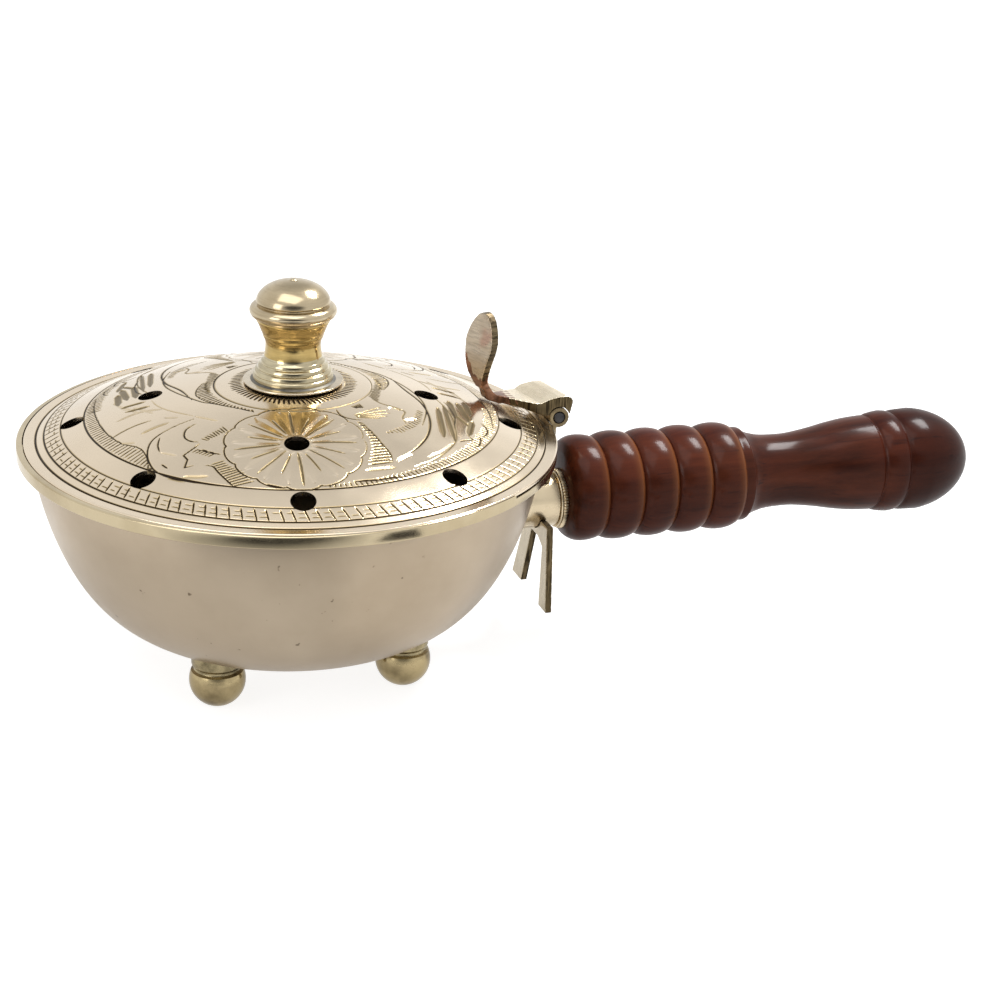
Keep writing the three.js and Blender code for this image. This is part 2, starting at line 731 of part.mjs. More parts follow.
// Moving pieces, from the hinge pin
const lidGroup = new THREE.Group();
lidGroup.position.set(...hingeAt);
pan.add(lidGroup);
const lidZ = -hingeRise;
const bossZ = lidZ + crownHeight + faceGap;
const knobZ = bossZ + bossThickness + faceGap;
const knobWasherZ = lidZ + crownHeight - lidSheet - faceGap - knobWasherThickness;
const screwZ = knobWasherZ - faceGap;
const screwLength = knobZ + screwReach - boltFit - screwZ;
const lidX = lidShift - hingeX;
place(lidGroup, "lid", lidGeometry(), brass, [lidX, 0, lidZ]);
place(lidGroup, "knob_boss", bossGeometry(), brass, [lidX, 0, bossZ]);
place(lidGroup, "knob", knobGeometry(), brass, [lidX, 0, knobZ]);
place(lidGroup, "knob_washer", knobWasherGeometry(), steel, [lidX, 0, knobWasherZ]);
place(lidGroup, "knob_screw", knobScrewGeometry(screwLength), steel, [lidX, 0, screwZ]);
place(lidGroup, "hinge_strap", strapGeometry(), brass);
place(lidGroup, "strap_knuckle", strapKnuckleGeometry(), brass);

// The whole part, with its origin under the middle of its length
const handleTip = handleX + beadCount * beadPitch + waistLength + collarLength + bulbLength;
const group = new THREE.Group();
pan.position.x = (bowlRimRadius - handleTip) / 2;
group.add(pan);

export default group;
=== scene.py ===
# %% [markdown]
# # A brass incense pan with an engraved lid
# The pan is a spun brass bowl on four ball feet. Its domed lid is pierced with smoke holes, engraved by
# hand, and hinged at the back, where a turned wooden handle stands off the bowl. We load the measured
# construction first and then build each finished piece round it, so that every size below comes either
# from the construction or from one named value in millimetres.

# %% Load the construction
import math
import random

import bpy
import numpy as np
from mathutils import Matrix, Vector


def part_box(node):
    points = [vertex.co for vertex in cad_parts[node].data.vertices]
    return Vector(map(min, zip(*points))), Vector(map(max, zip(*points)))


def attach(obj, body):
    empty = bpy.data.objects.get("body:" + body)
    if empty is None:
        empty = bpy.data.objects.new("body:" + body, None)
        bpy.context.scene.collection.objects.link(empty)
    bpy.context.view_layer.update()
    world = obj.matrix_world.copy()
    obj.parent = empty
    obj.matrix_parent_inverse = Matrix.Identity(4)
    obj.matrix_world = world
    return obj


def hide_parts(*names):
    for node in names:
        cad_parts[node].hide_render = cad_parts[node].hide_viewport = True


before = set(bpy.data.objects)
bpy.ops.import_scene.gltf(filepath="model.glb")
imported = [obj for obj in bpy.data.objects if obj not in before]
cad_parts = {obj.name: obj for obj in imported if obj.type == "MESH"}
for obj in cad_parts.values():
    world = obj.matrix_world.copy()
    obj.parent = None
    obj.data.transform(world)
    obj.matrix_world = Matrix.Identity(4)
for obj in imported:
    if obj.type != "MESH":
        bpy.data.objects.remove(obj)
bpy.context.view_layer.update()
MM = 0.001
random.seed(7)


# %% [markdown]
# The pieces are turned, so their middles and radii are read off the boxes of the construction. A lathe
# worker measures the same way, with a rule across the widest place.

# %% Read the main sizes
def size_of(node):
    """Lowest and highest corner of a node of the construction, in millimetres"""
    low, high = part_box(node)
    return low / MM, high / MM


bowl_low, bowl_high = size_of("bowl")
lid_low, lid_high = size_of("lid")
bowl_radius = bowl_high.y
bowl_x = bowl_low.x + bowl_radius
lid_radius = lid_high.y
lid_x = lid_low.x + lid_radius
sheet = 1.2
rim_top = lid_low.z + sheet
lid_rise = lid_high.z - rim_top
print("bowl radius", round(bowl_radius, 2), "lid radius", round(lid_radius, 2), "rim at", round(rim_top, 2))

# %% [markdown]
# The camera stands in front and a little to the left, and looks down by about twenty degrees. It is set by
# a place, a direction and a small roll, as a tripod head is.

# %% Set the camera
camera_place = Vector((-0.21547, -0.5970, 0.2923))
camera_look = Vector((0.3068, 0.8779, -0.3676)).normalized()
camera_roll = math.radians(2.215)
camera_lens = 82.8

across = camera_look.cross(Vector((0, 0, 1))).normalized()
upward = across.cross(camera_look)
rolled_across = math.cos(camera_roll) * across + math.sin(camera_roll) * upward
rolled_upward = math.cos(camera_roll) * upward - math.sin(camera_roll) * across
camera_turn = Matrix((rolled_across, rolled_upward, -camera_look)).transposed().to_4x4()
camera_data = bpy.data.cameras.new("camera")
camera_data.lens = camera_lens
camera = bpy.data.objects.new("camera", camera_data)
camera.matrix_world = Matrix.Translation(camera_place) @ camera_turn
bpy.context.scene.collection.objects.link(camera)
bpy.context.scene.camera = camera
print("camera looks down by", round(math.degrees(-math.asin(camera_look.z)), 1), "degrees")


# %% [markdown]
# ## Tools of the workshop
# Turned pieces are an outline spun round an axis, which is just what a lathe does. Corners of an outline
# are eased first, because a real edge is never perfectly sharp and a small round catches the light.

# %% Selection and edit helpers
def only(piece):
    """Makes one object the selected and active one"""
    bpy.ops.object.select_all(action="DESELECT")
    piece.select_set(True)
    bpy.context.view_layer.objects.active = piece


def linked(name, mesh):
    """Puts a mesh into the scene as a new object and selects it"""
    piece = bpy.data.objects.new(name, mesh)
    bpy.context.scene.collection.objects.link(piece)
    only(piece)
    return piece


def finish_modifier(piece, kind, **settings):
    """Adds a modifier, sets it and applies it"""
    modifier = piece.modifiers.new(kind.lower(), kind)
    for key, value in settings.items():
        setattr(modifier, key, value)
    only(piece)
    bpy.ops.object.modifier_apply(modifier=modifier.name)


def cut_out(piece, cutter):
    """Takes one object out of another with a boolean and removes it"""
    finish_modifier(piece, "BOOLEAN", operation="DIFFERENCE", object=cutter, solver="EXACT")
    bpy.data.objects.remove(cutter)


def drill_at(place, radius, length, sides):
    """A plain upright cylinder in millimetres, with its middle at a place in metres"""
    bpy.ops.mesh.primitive_cylinder_add(vertices=sides, radius=radius * MM, depth=length * MM, location=place)
    return bpy.context.object


def smooth(piece, degrees=35):
    only(piece)
    bpy.ops.object.shade_smooth_by_angle(angle=math.radians(degrees))


def set_up(piece, node, body, *finishes, slot="brass"):
    """Adds the finishes of a piece, puts it under its body and hides the solid that it stands for. The slot
    is not used
    """
    for finish in finishes:
        piece.data.materials.append(finish)
    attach(piece, body)
    if node:
        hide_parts(node)


for start_name in ("Cube", "Light", "Camera"):
    if start_name in bpy.data.objects:
        bpy.data.objects.remove(bpy.data.objects[start_name])
bpy.ops.object.select_all(action="DESELECT")


# %% Outlines: arcs and eased corners
def arc(middle, radii, start, end, steps):
    """Points on a circular or elliptic arc, angles in degrees"""
    turns = [math.radians(start + (end - start) * i / steps) for i in range(steps + 1)]
    return [(middle[0] + radii[0] * math.cos(t), middle[1] + radii[1] * math.sin(t)) for t in turns]


nearly_straight = math.radians(165)
longest_share = 0.45
corner_steps = 3


def eased(outline, reach):
    """Rounds each inner corner of an open outline by a curve that starts this far from it"""
    points = [outline[0]]
    for before, corner, after in zip(outline, outline[1:], outline[2:]):
        b, c, a = Vector(before), Vector(corner), Vector(after)
        into, out = b - c, a - c
        if into.angle(out, math.pi) > nearly_straight:
            points.append(corner)
            continue
        start = c + into.normalized() * min(reach, into.length * longest_share)
        end = c + out.normalized() * min(reach, out.length * longest_share)
        for i in range(corner_steps + 1):
            t = i / corner_steps
            points.append(tuple(start * (1 - t) ** 2 + c * 2 * t * (1 - t) + end * t ** 2))
    return points + [outline[-1]]


print("an eased square corner has", len(eased([(0, 0), (5, 0), (5, 5)], 0.25)), "points")


# %% Turned pieces
weld = 0.002
copy_weld = 0.005


def turned(name, outline, middle, steps, lying=False):
    """Turns an outline of (radius, height) in millimetres about Z, or about X when it lies along the handle.
    The Screw modifier with no rise is the lathe: it is much faster than Spin on a fine net"""
    mesh = bpy.data.meshes.new(name)
    if lying:
        points = [(height * MM, 0, radius * MM) for radius, height in outline]
    else:
        points = [(radius * MM, 0, height * MM) for radius, height in outline]
    mesh.from_pydata(points, [(i, i + 1) for i in range(len(points) - 1)], [])
    piece = linked(name, mesh)
    finish_modifier(piece, "SCREW", axis="X" if lying else "Z", steps=steps, render_steps=steps,
                    use_merge_vertices=True, merge_threshold=weld * MM)
    bpy.ops.object.mode_set(mode="EDIT")
    bpy.ops.mesh.select_all(action="SELECT")
    bpy.ops.mesh.remove_doubles(threshold=weld * MM)
    bpy.ops.mesh.normals_make_consistent(inside=False)
    bpy.ops.mesh.select_all(action="SELECT")
    bpy.ops.transform.translate(value=Vector(middle) * MM)
    bpy.ops.object.mode_set(mode="OBJECT")
    smooth(piece)
    return piece


def ring_outline(inner, outer, low, high, reach):
    """Closed outline of a washer or bush with eased edges"""
    middle = (low + high) / 2
    corners = [(inner, middle), (inner, low), (outer, low), (outer, high), (inner, high), (inner, middle)]
    return eased(corners, reach)


def copied(node, name):
    """A merged copy of a node of the construction, as a start for a finer piece"""
    piece = linked(name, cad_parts[node].data.copy())
    piece.data.materials.clear()
    bpy.ops.object.mode_set(mode="EDIT")
    bpy.ops.mesh.select_all(action="SELECT")
    bpy.ops.mesh.remove_doubles(threshold=copy_weld * MM)
    bpy.ops.object.mode_set(mode="OBJECT")
    return piece


def filed(node, name, grain, passes):
    """A copy whose edges are worn round: it is built again from small cubes and then smoothed"""
    piece = copied(node, name)
    finish_modifier(piece, "REMESH", mode="VOXEL", voxel_size=grain * MM)
    finish_modifier(piece, "SMOOTH", factor=0.5, iterations=passes)
    smooth(piece, 60)
    return piece


print("tools ready")


# %% [markdown]
# ## Brass
# Every brass here is the same kind of surface: a clean metal colour that wanders a little, a duller skin of
# tarnish in patches, and the fine lines that the maker's abrasive left. One function builds it, and each
# finish changes the colours, the gloss and the scale of the lines.

# %% Material helpers
class Wires:
    """Builds and wires the nodes of a material or of the world"""

    def __init__(self, tree):
        self.nodes = tree.nodes
        self.links = tree.links

    def feed(self, socket, value):
        """Wires an output into a socket, or sets the socket to a number, a vector or a colour"""
        if isinstance(value, bpy.types.NodeSocket):
            self.links.new(value, socket)
        else:
            socket.default_value = (*value, 1) if socket.type == "RGBA" else value

    def node(self, kind, output, inputs, **settings):
        """Adds a node, sets it, feeds its inputs and gives back one of its outputs"""
        node = self.nodes.new("ShaderNode" + kind)
        for key, value in settings.items():
            setattr(node, key, value)
        for key, value in inputs.items():
            self.feed(node.inputs[key], value)
        return node.outputs[output]

    def math(self, operation, first, second):
        return self.node("Math", "Value", {0: first, 1: second}, operation=operation)

    def range(self, source, low, high, out_low=0.0, out_high=1.0):
        ends = {"From Min": low, "From Max": high, "To Min": out_low, "To Max": out_high}
        return self.node("MapRange", "Result", {"Value": source, **ends})


class Finish(Wires):
    """A material with a Principled shader and the helpers that its textures need"""

    def __init__(self, name):
        self.material = bpy.data.materials.new(name)
        self.material.use_nodes = True
        super().__init__(self.material.node_tree)
        self.shader = self.nodes["Principled BSDF"]
        self.place = self.node("TexCoord", "Object", {})

    def surface(self, inputs):
        """Feeds inputs of the shader"""
        for key, value in inputs.items():
            self.feed(self.shader.inputs[key], value)

    def noise(self, scale, detail=4, stretch=(1, 1, 1), roughness=0.55):
        place = self.node("Mapping", "Vector", {"Vector": self.place, "Scale": stretch})
        grain = {"Scale": scale, "Detail": detail, "Roughness": roughness}
        return self.node("TexNoise", "Fac", {"Vector": place, **grain})

    def mix(self, share, first, second):
        return self.node("Mix", "Result", {"Factor": share, "A": first, "B": second}, data_type="RGBA")

    def from_middle(self):
        return self.node("VectorMath", "Value", {0: self.place}, operation="LENGTH")

    def attribute(self, name):
        return self.node("Attribute", "Fac", {}, attribute_name=name)

    def bump(self, height, strength, distance):
        """Lays a bump over the shader's normal, or over the bump that is already there"""
        inputs = {"Height": height, "Strength": strength, "Distance": distance * MM}
        normal = self.shader.inputs["Normal"]
        if normal.links:
            inputs["Normal"] = normal.links[0].from_socket
        self.feed(normal, self.node("Bump", "Normal", inputs))


print("material helpers ready")


# %% Brass finishes
def brass(name, clean, tarnish, gloss, spread, patches, dull, lines=(1, 1, 1), cut=0.1, streaks=0.0,
          scale=900, engraved=False, tint=None, pits=None):
    """Clean metal with patches of tarnish, an uneven gloss and fine abrasive lines.
    Streaks darkens those lines, engraved colours the furrows and the torch's heat stain, tint is a second
    stain given as its colour, its scale and where it starts, and pits is the colour of small dark specks"""
    finish = Finish(name)
    patch = finish.range(finish.noise(patches, 6), 0.42, 0.72)
    colour = finish.mix(finish.math("MULTIPLY", patch, dull), clean, tarnish)
    if tint:
        stain = finish.range(finish.noise(tint[1], 3), tint[2], tint[2] + 0.12)
        colour = finish.mix(stain, colour, tint[0])
    fine = finish.noise(scale, 3, lines)
    if streaks:
        dark = finish.math("MULTIPLY", finish.range(fine, 0.45, 0.62), streaks)
        colour = finish.mix(dark, colour, tuple(0.35 * channel for channel in tarnish))
    rough = finish.range(finish.noise(patches * 2.3, 5), 0.3, 0.7, gloss - spread / 2, gloss + spread)
    if pits:
        colour = finish.mix(finish.range(finish.noise(330, 2), 0.73, 0.77), colour, pits)
    if engraved:
        ink = finish.attribute("ink")
        colour = finish.mix(finish.range(ink, 0.0, 0.45), colour, furrow_gold)
        colour = finish.mix(finish.range(ink, 0.4, 1.0), colour, furrow_brown)
        rough = finish.math("ADD", rough, finish.math("MULTIPLY", ink, 0.3))
        blotches = finish.range(finish.noise(420, 4), 0.35, 0.6, 0.35, 1.0)
        colour = finish.mix(finish.math("MULTIPLY", finish.attribute("heat"), blotches), colour, heat_red)
    finish.surface({"Metallic": 1, "Base Color": colour, "Roughness": rough})
    finish.bump(fine, cut, 0.03)
    return finish.material


furrow_gold = (0.52, 0.40, 0.21)
furrow_brown = (0.022, 0.013, 0.006)
heat_red = (0.24, 0.14, 0.11)
lid_brass = brass("lid brass", (0.76, 0.645, 0.49), (0.64, 0.53, 0.39), 0.15, 0.08, 30, 0.4, cut=0.06,
                  engraved=True)
bowl_brass = brass("satin bowl brass", (0.48, 0.392, 0.288), (0.34, 0.265, 0.18), 0.33, 0.08, 24, 0.5,
                   (0.1, 0.1, 3.0), 0.2, pits=(0.20, 0.155, 0.105))
rim_brass = brass("polished rim brass", (0.56, 0.47, 0.31), (0.36, 0.28, 0.16), 0.14, 0.06, 50, 0.6,
                  (0.1, 0.1, 3.0), 0.12)
knob_cap_brass = brass("tan knob brass", (0.55, 0.46, 0.31), (0.34, 0.26, 0.15), 0.15, 0.08, 70, 0.6,
                       (0.15, 0.15, 2.5), 0.15, 0.12)
knob_throat_brass = brass("golden throat brass", (0.52, 0.38, 0.15), (0.26, 0.17, 0.05), 0.13, 0.08, 110, 0.6,
                          (0.15, 0.15, 2.5), 0.2, 0.15)
knob_foot_brass = brass("pale knob foot brass", (0.56, 0.49, 0.33), (0.26, 0.21, 0.12), 0.15, 0.08, 130, 0.6,
                        (0.15, 0.15, 2.5), 0.2, 0.2)
foot_brass = brass("cast foot brass", (0.44, 0.35, 0.19), (0.11, 0.08, 0.04), 0.17, 0.12, 130, 0.8, cut=0.25)
socket_brass = brass("satin socket brass", (0.66, 0.55, 0.38), (0.50, 0.40, 0.26), 0.24, 0.08, 60, 0.4,
                     (2.5, 0.2, 0.2), 0.12)
plate_brass = brass("filed plate brass", (0.50, 0.43, 0.31), (0.32, 0.25, 0.16), 0.26, 0.1, 60, 0.5,
                    (0.5, 2.0, 0.5), 0.2, 0.15)
aged_brass = brass("aged plate brass", (0.27, 0.21, 0.12), (0.08, 0.055, 0.028), 0.26, 0.12, 110, 0.7,
                   (0.5, 2.0, 0.5), 0.3, 0.3)
# Sawn edge faces: dark partly from tarnish and partly as painted shade
sawn_edge_shade_brass = brass("sawn edge brass with painted shade", (0.155, 0.115, 0.06), (0.035, 0.023, 0.012), 0.34, 0.12, 180, 0.8,
                   (1.0, 0.4, 0.08), 0.8, 0.85, 1300)
# The dark colour of the inside is painted shade, for the shade in the closed bowl
inside_shade_brass = brass("dull inside brass with painted shade", (0.16, 0.12, 0.07), (0.05, 0.035, 0.025), 0.45, 0.12, 35, 0.8,
                    cut=0.3)
collar_brass = brass("worn collar brass", (0.40, 0.33, 0.19), (0.07, 0.055, 0.03), 0.22, 0.14, 210, 0.95,
                     cut=0.4)
disc_brass = brass("pale disc brass", (0.66, 0.58, 0.45), (0.34, 0.28, 0.20), 0.2, 0.1, 90, 0.6, cut=0.12)
print("brass finishes:", [m.name for m in bpy.data.materials if "brass" in m.name])


# %% Steel and solder
def spotted_metal(name, metallic, spots, dark, light, gloss, grain, height):
    """Dull metal in spots of two colours, each with its own roughness, under a fine lumpy skin.
    Spots and grain give the scale and detail of a noise, and height the strength and depth of the skin"""
    finish = Finish(name)
    share = finish.range(finish.noise(*spots), 0.35, 0.7)
    rough = finish.range(share, 0, 1, *gloss)
    finish.surface({"Metallic": metallic, "Base Color": finish.mix(share, dark, light), "Roughness": rough})
    finish.bump(finish.noise(*grain), *height)
    return finish.material


steel = spotted_metal("dark pin steel", 1, (300, 4), (0.03, 0.03, 0.032), (0.10, 0.095, 0.09), (0.3, 0.5),
                      (900, 2), (0.2, 0.02))
solder = spotted_metal("dull solder", 0.8, (260, 5), (0.06, 0.06, 0.06), (0.22, 0.20, 0.16), (0.35, 0.55),
                       (380, 3), (0.4, 0.15))
print("dull metals:", steel.name, solder.name)


# %% [markdown]
# ## The bowl
# The real bowl is spun from one disc of sheet: a full belly, a flat bottom and a flared rim band. Its wall
# curve is drawn by two powers, one for how soon the wall draws in and one for how flat the bottom is, and
# then spun with an inside face one sheet thickness away.

# %% Spin the bowl
flare = 4.15
band = 2.5
wall = 1.2
belly_power = 1.338
bottom_power = 4.94
mouth = bowl_radius - flare
curve_top = bowl_high.z - band
curve_depth = curve_top - bowl_low.z
curve_steps = 44


def bowl_curve(inset):
    """The wall from the axis up to the mouth, drawn in by an inset"""
    points = []
    for i in range(curve_steps, -1, -1):
        turn = i / curve_steps * math.pi / 2
        reach = (mouth - inset) * max(math.cos(turn), 0) ** (2 / bottom_power)
        drop = (curve_depth - inset) * math.sin(turn) ** (2 / belly_power)
        points.append((0 if i == curve_steps else reach, curve_top - drop))
    return points


lip_drop = 0.2
lip_top = rim_top - lip_drop
seat_top = bowl_high.z
band_edge = eased(
    [
        (mouth + 0.3, curve_top), (bowl_radius - 0.7, curve_top + 0.05), (bowl_radius, curve_top + 0.45),
        (bowl_radius, lip_top - 0.25), (bowl_radius - 0.3, lip_top), (mouth + 1, lip_top),
        (mouth - wall, lip_top - 0.3),
    ],
    0.14,
)
bowl_outline = bowl_curve(0) + band_edge + bowl_curve(wall)[::-1]
bowl_sides = 288
bowl = turned("bowl_shell", bowl_outline, (bowl_x, 0, 0), bowl_sides)
set_up(bowl, "bowl", "pan", bowl_brass)
print("bowl faces:", len(bowl.data.polygons))

# %% [markdown]
# The lid sits down in a seat that was turned into the rim, so that only a thin lip shows round it. The seat
# is cut with a boolean, by a plain cylinder on the lid's axis, which lies a millimetre nearer the hinge: so
# the lip is widest opposite the hinge and runs out beside it.

# %% Cut the seat for the lid
lid_play = 0.24
seat_cut = 20
cut_middle = (lid_x * MM, 0, (seat_top + seat_cut / 2) * MM)
cut_out(bowl, drill_at(cut_middle, lid_radius + lid_play, seat_cut, bowl_sides))
smooth(bowl, 30)
print("bowl faces with its seat:", len(bowl.data.polygons))

# %% [markdown]
# The rim band was polished brighter than the body, and the inside was never polished at all. The inside is
# also darkened as painted shade, the shade in the closed bowl that makes the smoke holes look black. The
# faces of each are picked by their height and by the way they face.

# %% Finish the rim band and the inside
bowl.data.materials.append(rim_brass)
bowl.data.materials.append(inside_shade_brass)
for face in bowl.data.polygons:
    out = Vector((face.center.x / MM - bowl_x, face.center.y / MM))
    height = face.center.z / MM
    on_lip = height > seat_top + 0.2
    on_band = height > curve_top + 0.05 and out.length > mouth
    if on_lip or on_band:
        face.material_index = 1
    # Faces that look inwards or up inside the bowl take the darker inside finish, which is painted shade
    elif face.normal.x * out.x + face.normal.y * out.y < 0 or face.normal.z > 0.5:
        face.material_index = 2


def finish_counts(piece):
    """How many faces of a piece have each of its finishes"""
    indices = [face.material_index for face in piece.data.polygons]
    return {slot.name: indices.count(i) for i, slot in enumerate(piece.material_slots)}


print("faces:", finish_counts(bowl))

# %% [markdown]
# ## The ball feet
# Each foot is a cast ball with a short neck, soldered under the belly by a collar. One foot is spun, its
# top is cut by the bowl's own curve, and three copies are turned round the bowl's axis.

# %% Turn one foot and copy it
ball_radius = 7.9
ball_wear = 2.0
foot_circle = 38.0
ball_middle = math.sqrt(ball_radius ** 2 - ball_wear ** 2)
neck_radius = 6.4
collar_radius = 7.2
collar_top = bowl_low.z + 6
ball_end = 22
wear_turn = -math.degrees(math.acos(ball_wear / ball_radius))
ball = arc((0, ball_middle), (ball_radius, ball_radius), wear_turn, ball_end, 22)
foot_outline = [(0, 0)] + ball + eased(
    [
        (7.25, ball_middle + 3.0), (neck_radius, ball_middle + 3.4), (neck_radius, ball_middle + 4.3),
        (collar_radius, ball_middle + 4.9), (collar_radius, collar_top), (0, collar_top),
    ],
    0.35,
)
foot = turned("foot_pattern", foot_outline, (bowl_x + foot_circle, 0, 0), 72)


def fit_to_bowl(piece, inset, steps):
    """Cuts the end of a piece to the outside of the bowl, drawn in by an inset"""
    cut_out(piece, turned("bowl_plug", bowl_curve(inset) + [(0, curve_top)], (bowl_x, 0, 0), steps))
    smooth(piece, 30)


fit_to_bowl(foot, 0.3, 120)
foot.data.materials.append(foot_brass)
foot.data.materials.append(collar_brass)
for face in foot.data.polygons:
    if face.center.z / MM > ball_middle + 3.1:
        face.material_index = 1
foot_turns = {"foot_rear_left": 45, "foot_front_left": 135, "foot_front_right": 225, "foot_rear_right": 315}
for node, degrees in foot_turns.items():
    mesh = foot.data.copy()
    there = Matrix.Translation((bowl_x * MM, 0, 0))
    mesh.transform(there @ Matrix.Rotation(math.radians(degrees), 4, "Z") @ there.inverted())
    set_up(linked(node.replace("foot_", "ball_foot_"), mesh), node, "pan")
bpy.data.objects.remove(foot)
print("feet:", len(foot_turns))

# %% [markdown]
# ## The lid
# The dome is part of a sphere above a flat rim. An engraver cuts its pattern with small gravers, so the
# lines are real furrows. The lid is spun as a fine net of faces, in rings that are each as fine as their
# pattern needs, and the smoke holes are cut through it. Every stroke of the graver then pushes the net down
# where it passes. The strength of the cut is kept as an attribute, so that the finish can darken the furrows.

# %% Spin the lid in rings
dome_base = lid_radius - 3.45
dome_radius = (dome_base ** 2 + lid_rise ** 2) / (2 * lid_rise)
field_edge = 58.14
crown_edge = 22.09
leaves_edge = 44.0
flower_edge = 52.0
border_edge = 58.9
ladder_edge = 64.2
ledge_edge = 69.75


def dome_height(radius):
    """Height of the lid's upper face above its rim"""
    if radius > dome_base:
        return 0.0
    return math.sqrt(dome_radius ** 2 - radius ** 2) - dome_radius + lid_rise


def net(start, end, steps):
    """Points along the lid's upper face from one radius to another"""
    radii = [start + (end - start) * i / steps for i in range(steps + 1)]
    return [(radius, dome_height(radius)) for radius in radii]


def underside(points):
    return [(radius, height - sheet) for radius, height in points]


def closed(points):
    return points + [points[0]]


rim_edge = arc((lid_radius - 0.5, -0.5), (0.5, 0.5), 90, 0, 4) + [(lid_radius, -sheet + 0.3),
                                                                 (lid_radius - 0.3, -sheet)]
lid_middle = (lid_x, 0, rim_top)


def lid_ring(name, inner, outer, rows, steps):
    """One ring of the lid, with so many rows of faces across and steps round it"""
    outline = closed(net(inner, outer, rows) + underside(net(outer, inner, 4)))
    return turned(name, outline, lid_middle, steps)


ledge_outline = closed(
    net(ledge_edge, dome_base, 12) + net(dome_base + 0.1, dome_base + 0.7, 5)
    + net(dome_base + 1, lid_radius - 0.6, 3) + rim_edge + [(dome_base, -sheet)]
    + underside(net(dome_base - 1, ledge_edge, 2))
)
crown_outline = net(0, crown_edge, 80) + underside(net(crown_edge, 0, 5))
lid_rings = [
    turned("lid_ledge", ledge_outline, lid_middle, 1200),
    lid_ring("lid_ladder", ladder_edge, ledge_edge, 32, 2400),
    lid_ring("lid_hole_band", border_edge, ladder_edge, 8, 1200),
    lid_ring("lid_border", flower_edge, border_edge, 35, 1800),
    lid_ring("lid_flowers", leaves_edge, flower_edge, 40, 1500),
    lid_ring("lid_leaves", crown_edge, leaves_edge, 100, 900),
    turned("lid_crown", crown_outline, lid_middle, 600),
]
print("lid faces:", [len(ring.data.polygons) for ring in lid_rings])

# %% [markdown]
# Twelve smoke holes were drilled by hand, so each sits a little off its circle. Each is given by its angle
# and by how far it slipped outwards. A drill is a plain cylinder, and a boolean takes it out of the ring.

# %% Drill the smoke holes
hole_radius = 3.4
drill_length = 40
drill_lift = 6
outer_circle = dome_base - 9.75
inner_circle = 38.7
outer_holes = [(-16.2, -0.5), (-59.8, 0.25), (-101.2, 0.35), (-143.1, -0.25),
               (170.5, -0.45), (122.6, 0), (76.9, 0), (31.3, 0)]
inner_holes = [(-13.4, -1.2), (-102.2, 0.2), (166.5, 1.1), (78.2, 0)]


def drill(ring, holes, circle):
    """Takes straight round holes out of a ring of the lid, all in one cut"""
    bpy.ops.object.select_all(action="DESELECT")
    drills = []
    for degrees, slip in holes:
        turn = math.radians(degrees)
        reach = circle + slip
        there = (lid_x + reach * math.cos(turn), reach * math.sin(turn), rim_top + drill_lift)
        drills.append(drill_at(Vector(there) * MM, hole_radius, drill_length, 64))
    for one in drills:
        one.select_set(True)
    bpy.context.view_layer.objects.active = drills[0]
    bpy.ops.object.join()
    cut_out(ring, bpy.context.object)


for ring in lid_rings[1:4]:
    drill(ring, outer_holes, outer_circle)
drill(lid_rings[5], inner_holes, inner_circle)
print("lid faces after drilling:", [len(ring.data.polygons) for ring in lid_rings])

# %% [markdown]
# ## Drawing the engraving
# The pattern is a traditional one: a ladder border, a ring of short radial cuts round the knob, two open
# flowers with sixteen furrowed petals, and between them leaves and crescents whose grounds are hatched with
# short strokes. Each stroke is a list of points on the lid, seen from above, in millimetres from its
# middle, with the half-width and depth of the furrow. The far half of the lid repeats the near half.

# %% Strokes of the graver
strokes = []
fineness = 0.8
shallow = 0.62
dark_ink = 0.6


def stroke(points, half, depth, ink=1.0):
    """One cut: lines with dark ink are shallower than the bright ones"""
    deep = depth * shallow if ink > dark_ink else depth
    strokes.append((np.array(points, float), half * fineness, deep, ink))


def polar(radius, degrees):
    turn = math.radians(degrees)
    return (radius * math.cos(turn), radius * math.sin(turn))


def curve(points, steps=6):
    """A smooth line through a few points"""
    ends = [points[0]] + list(points) + [points[-1]]
    line = []
    for a, b, c, d in zip(ends, ends[1:], ends[2:], ends[3:]):
        a, b, c, d = (np.array(p, float) for p in (a, b, c, d))
        for i in range(steps):
            t = i / steps
            line.append(0.5 * (2 * b + (c - a) * t + (2 * a - 5 * b + 4 * c - d) * t ** 2
                               + (3 * b - a - 3 * c + d) * t ** 3))
    return line + [np.array(points[-1], float)]


def bent(points, half=0.36, depth=0.24, ink=1.0):
    """One cut along a smooth line through a few points"""
    stroke(curve(points), half, depth, ink)


def measured(line):
    """The length of each step along a line, and how far along it each point lies"""
    steps = np.hypot(*np.diff(line, axis=0).T)
    return steps, np.concatenate([[0], np.cumsum(steps)])


def along(line, count):
    """Points spaced evenly along a line"""
    line = np.array(line)
    far = measured(line)[1]
    marks = np.linspace(0, far[-1], count)
    return np.stack([np.interp(marks, far, line[:, 0]), np.interp(marks, far, line[:, 1])], -1)


hatch_slip = 0.15
hatch_ink = 0.95
ring_step = 1.5


def hatch(first, second, count, half=0.36, depth=0.24):
    """Short strokes from one line to another, each a little off its place"""
    for a, b in zip(along(first, count), along(second, count)):
        slip = np.array([random.uniform(-hatch_slip, hatch_slip), random.uniform(-hatch_slip, hatch_slip)])
        stroke([a + slip, b - slip], half, depth, hatch_ink)


def ring_line(radius, half, depth=0.24, start=0, end=360, ink=1.0):
    """One cut round the lid's middle, from one angle to another"""
    count = max(int(abs(end - start) / ring_step), 2)
    stroke([polar(radius, start + (end - start) * i / count) for i in range(count + 1)], half, depth, ink)


print("pattern tools ready")

# %% [markdown]
# The border comes first, as an engraver sets it out: turned rings, then the rungs of the ladder. The rungs
# lean a little and are spaced by eye, and two thin broken lines run across them.

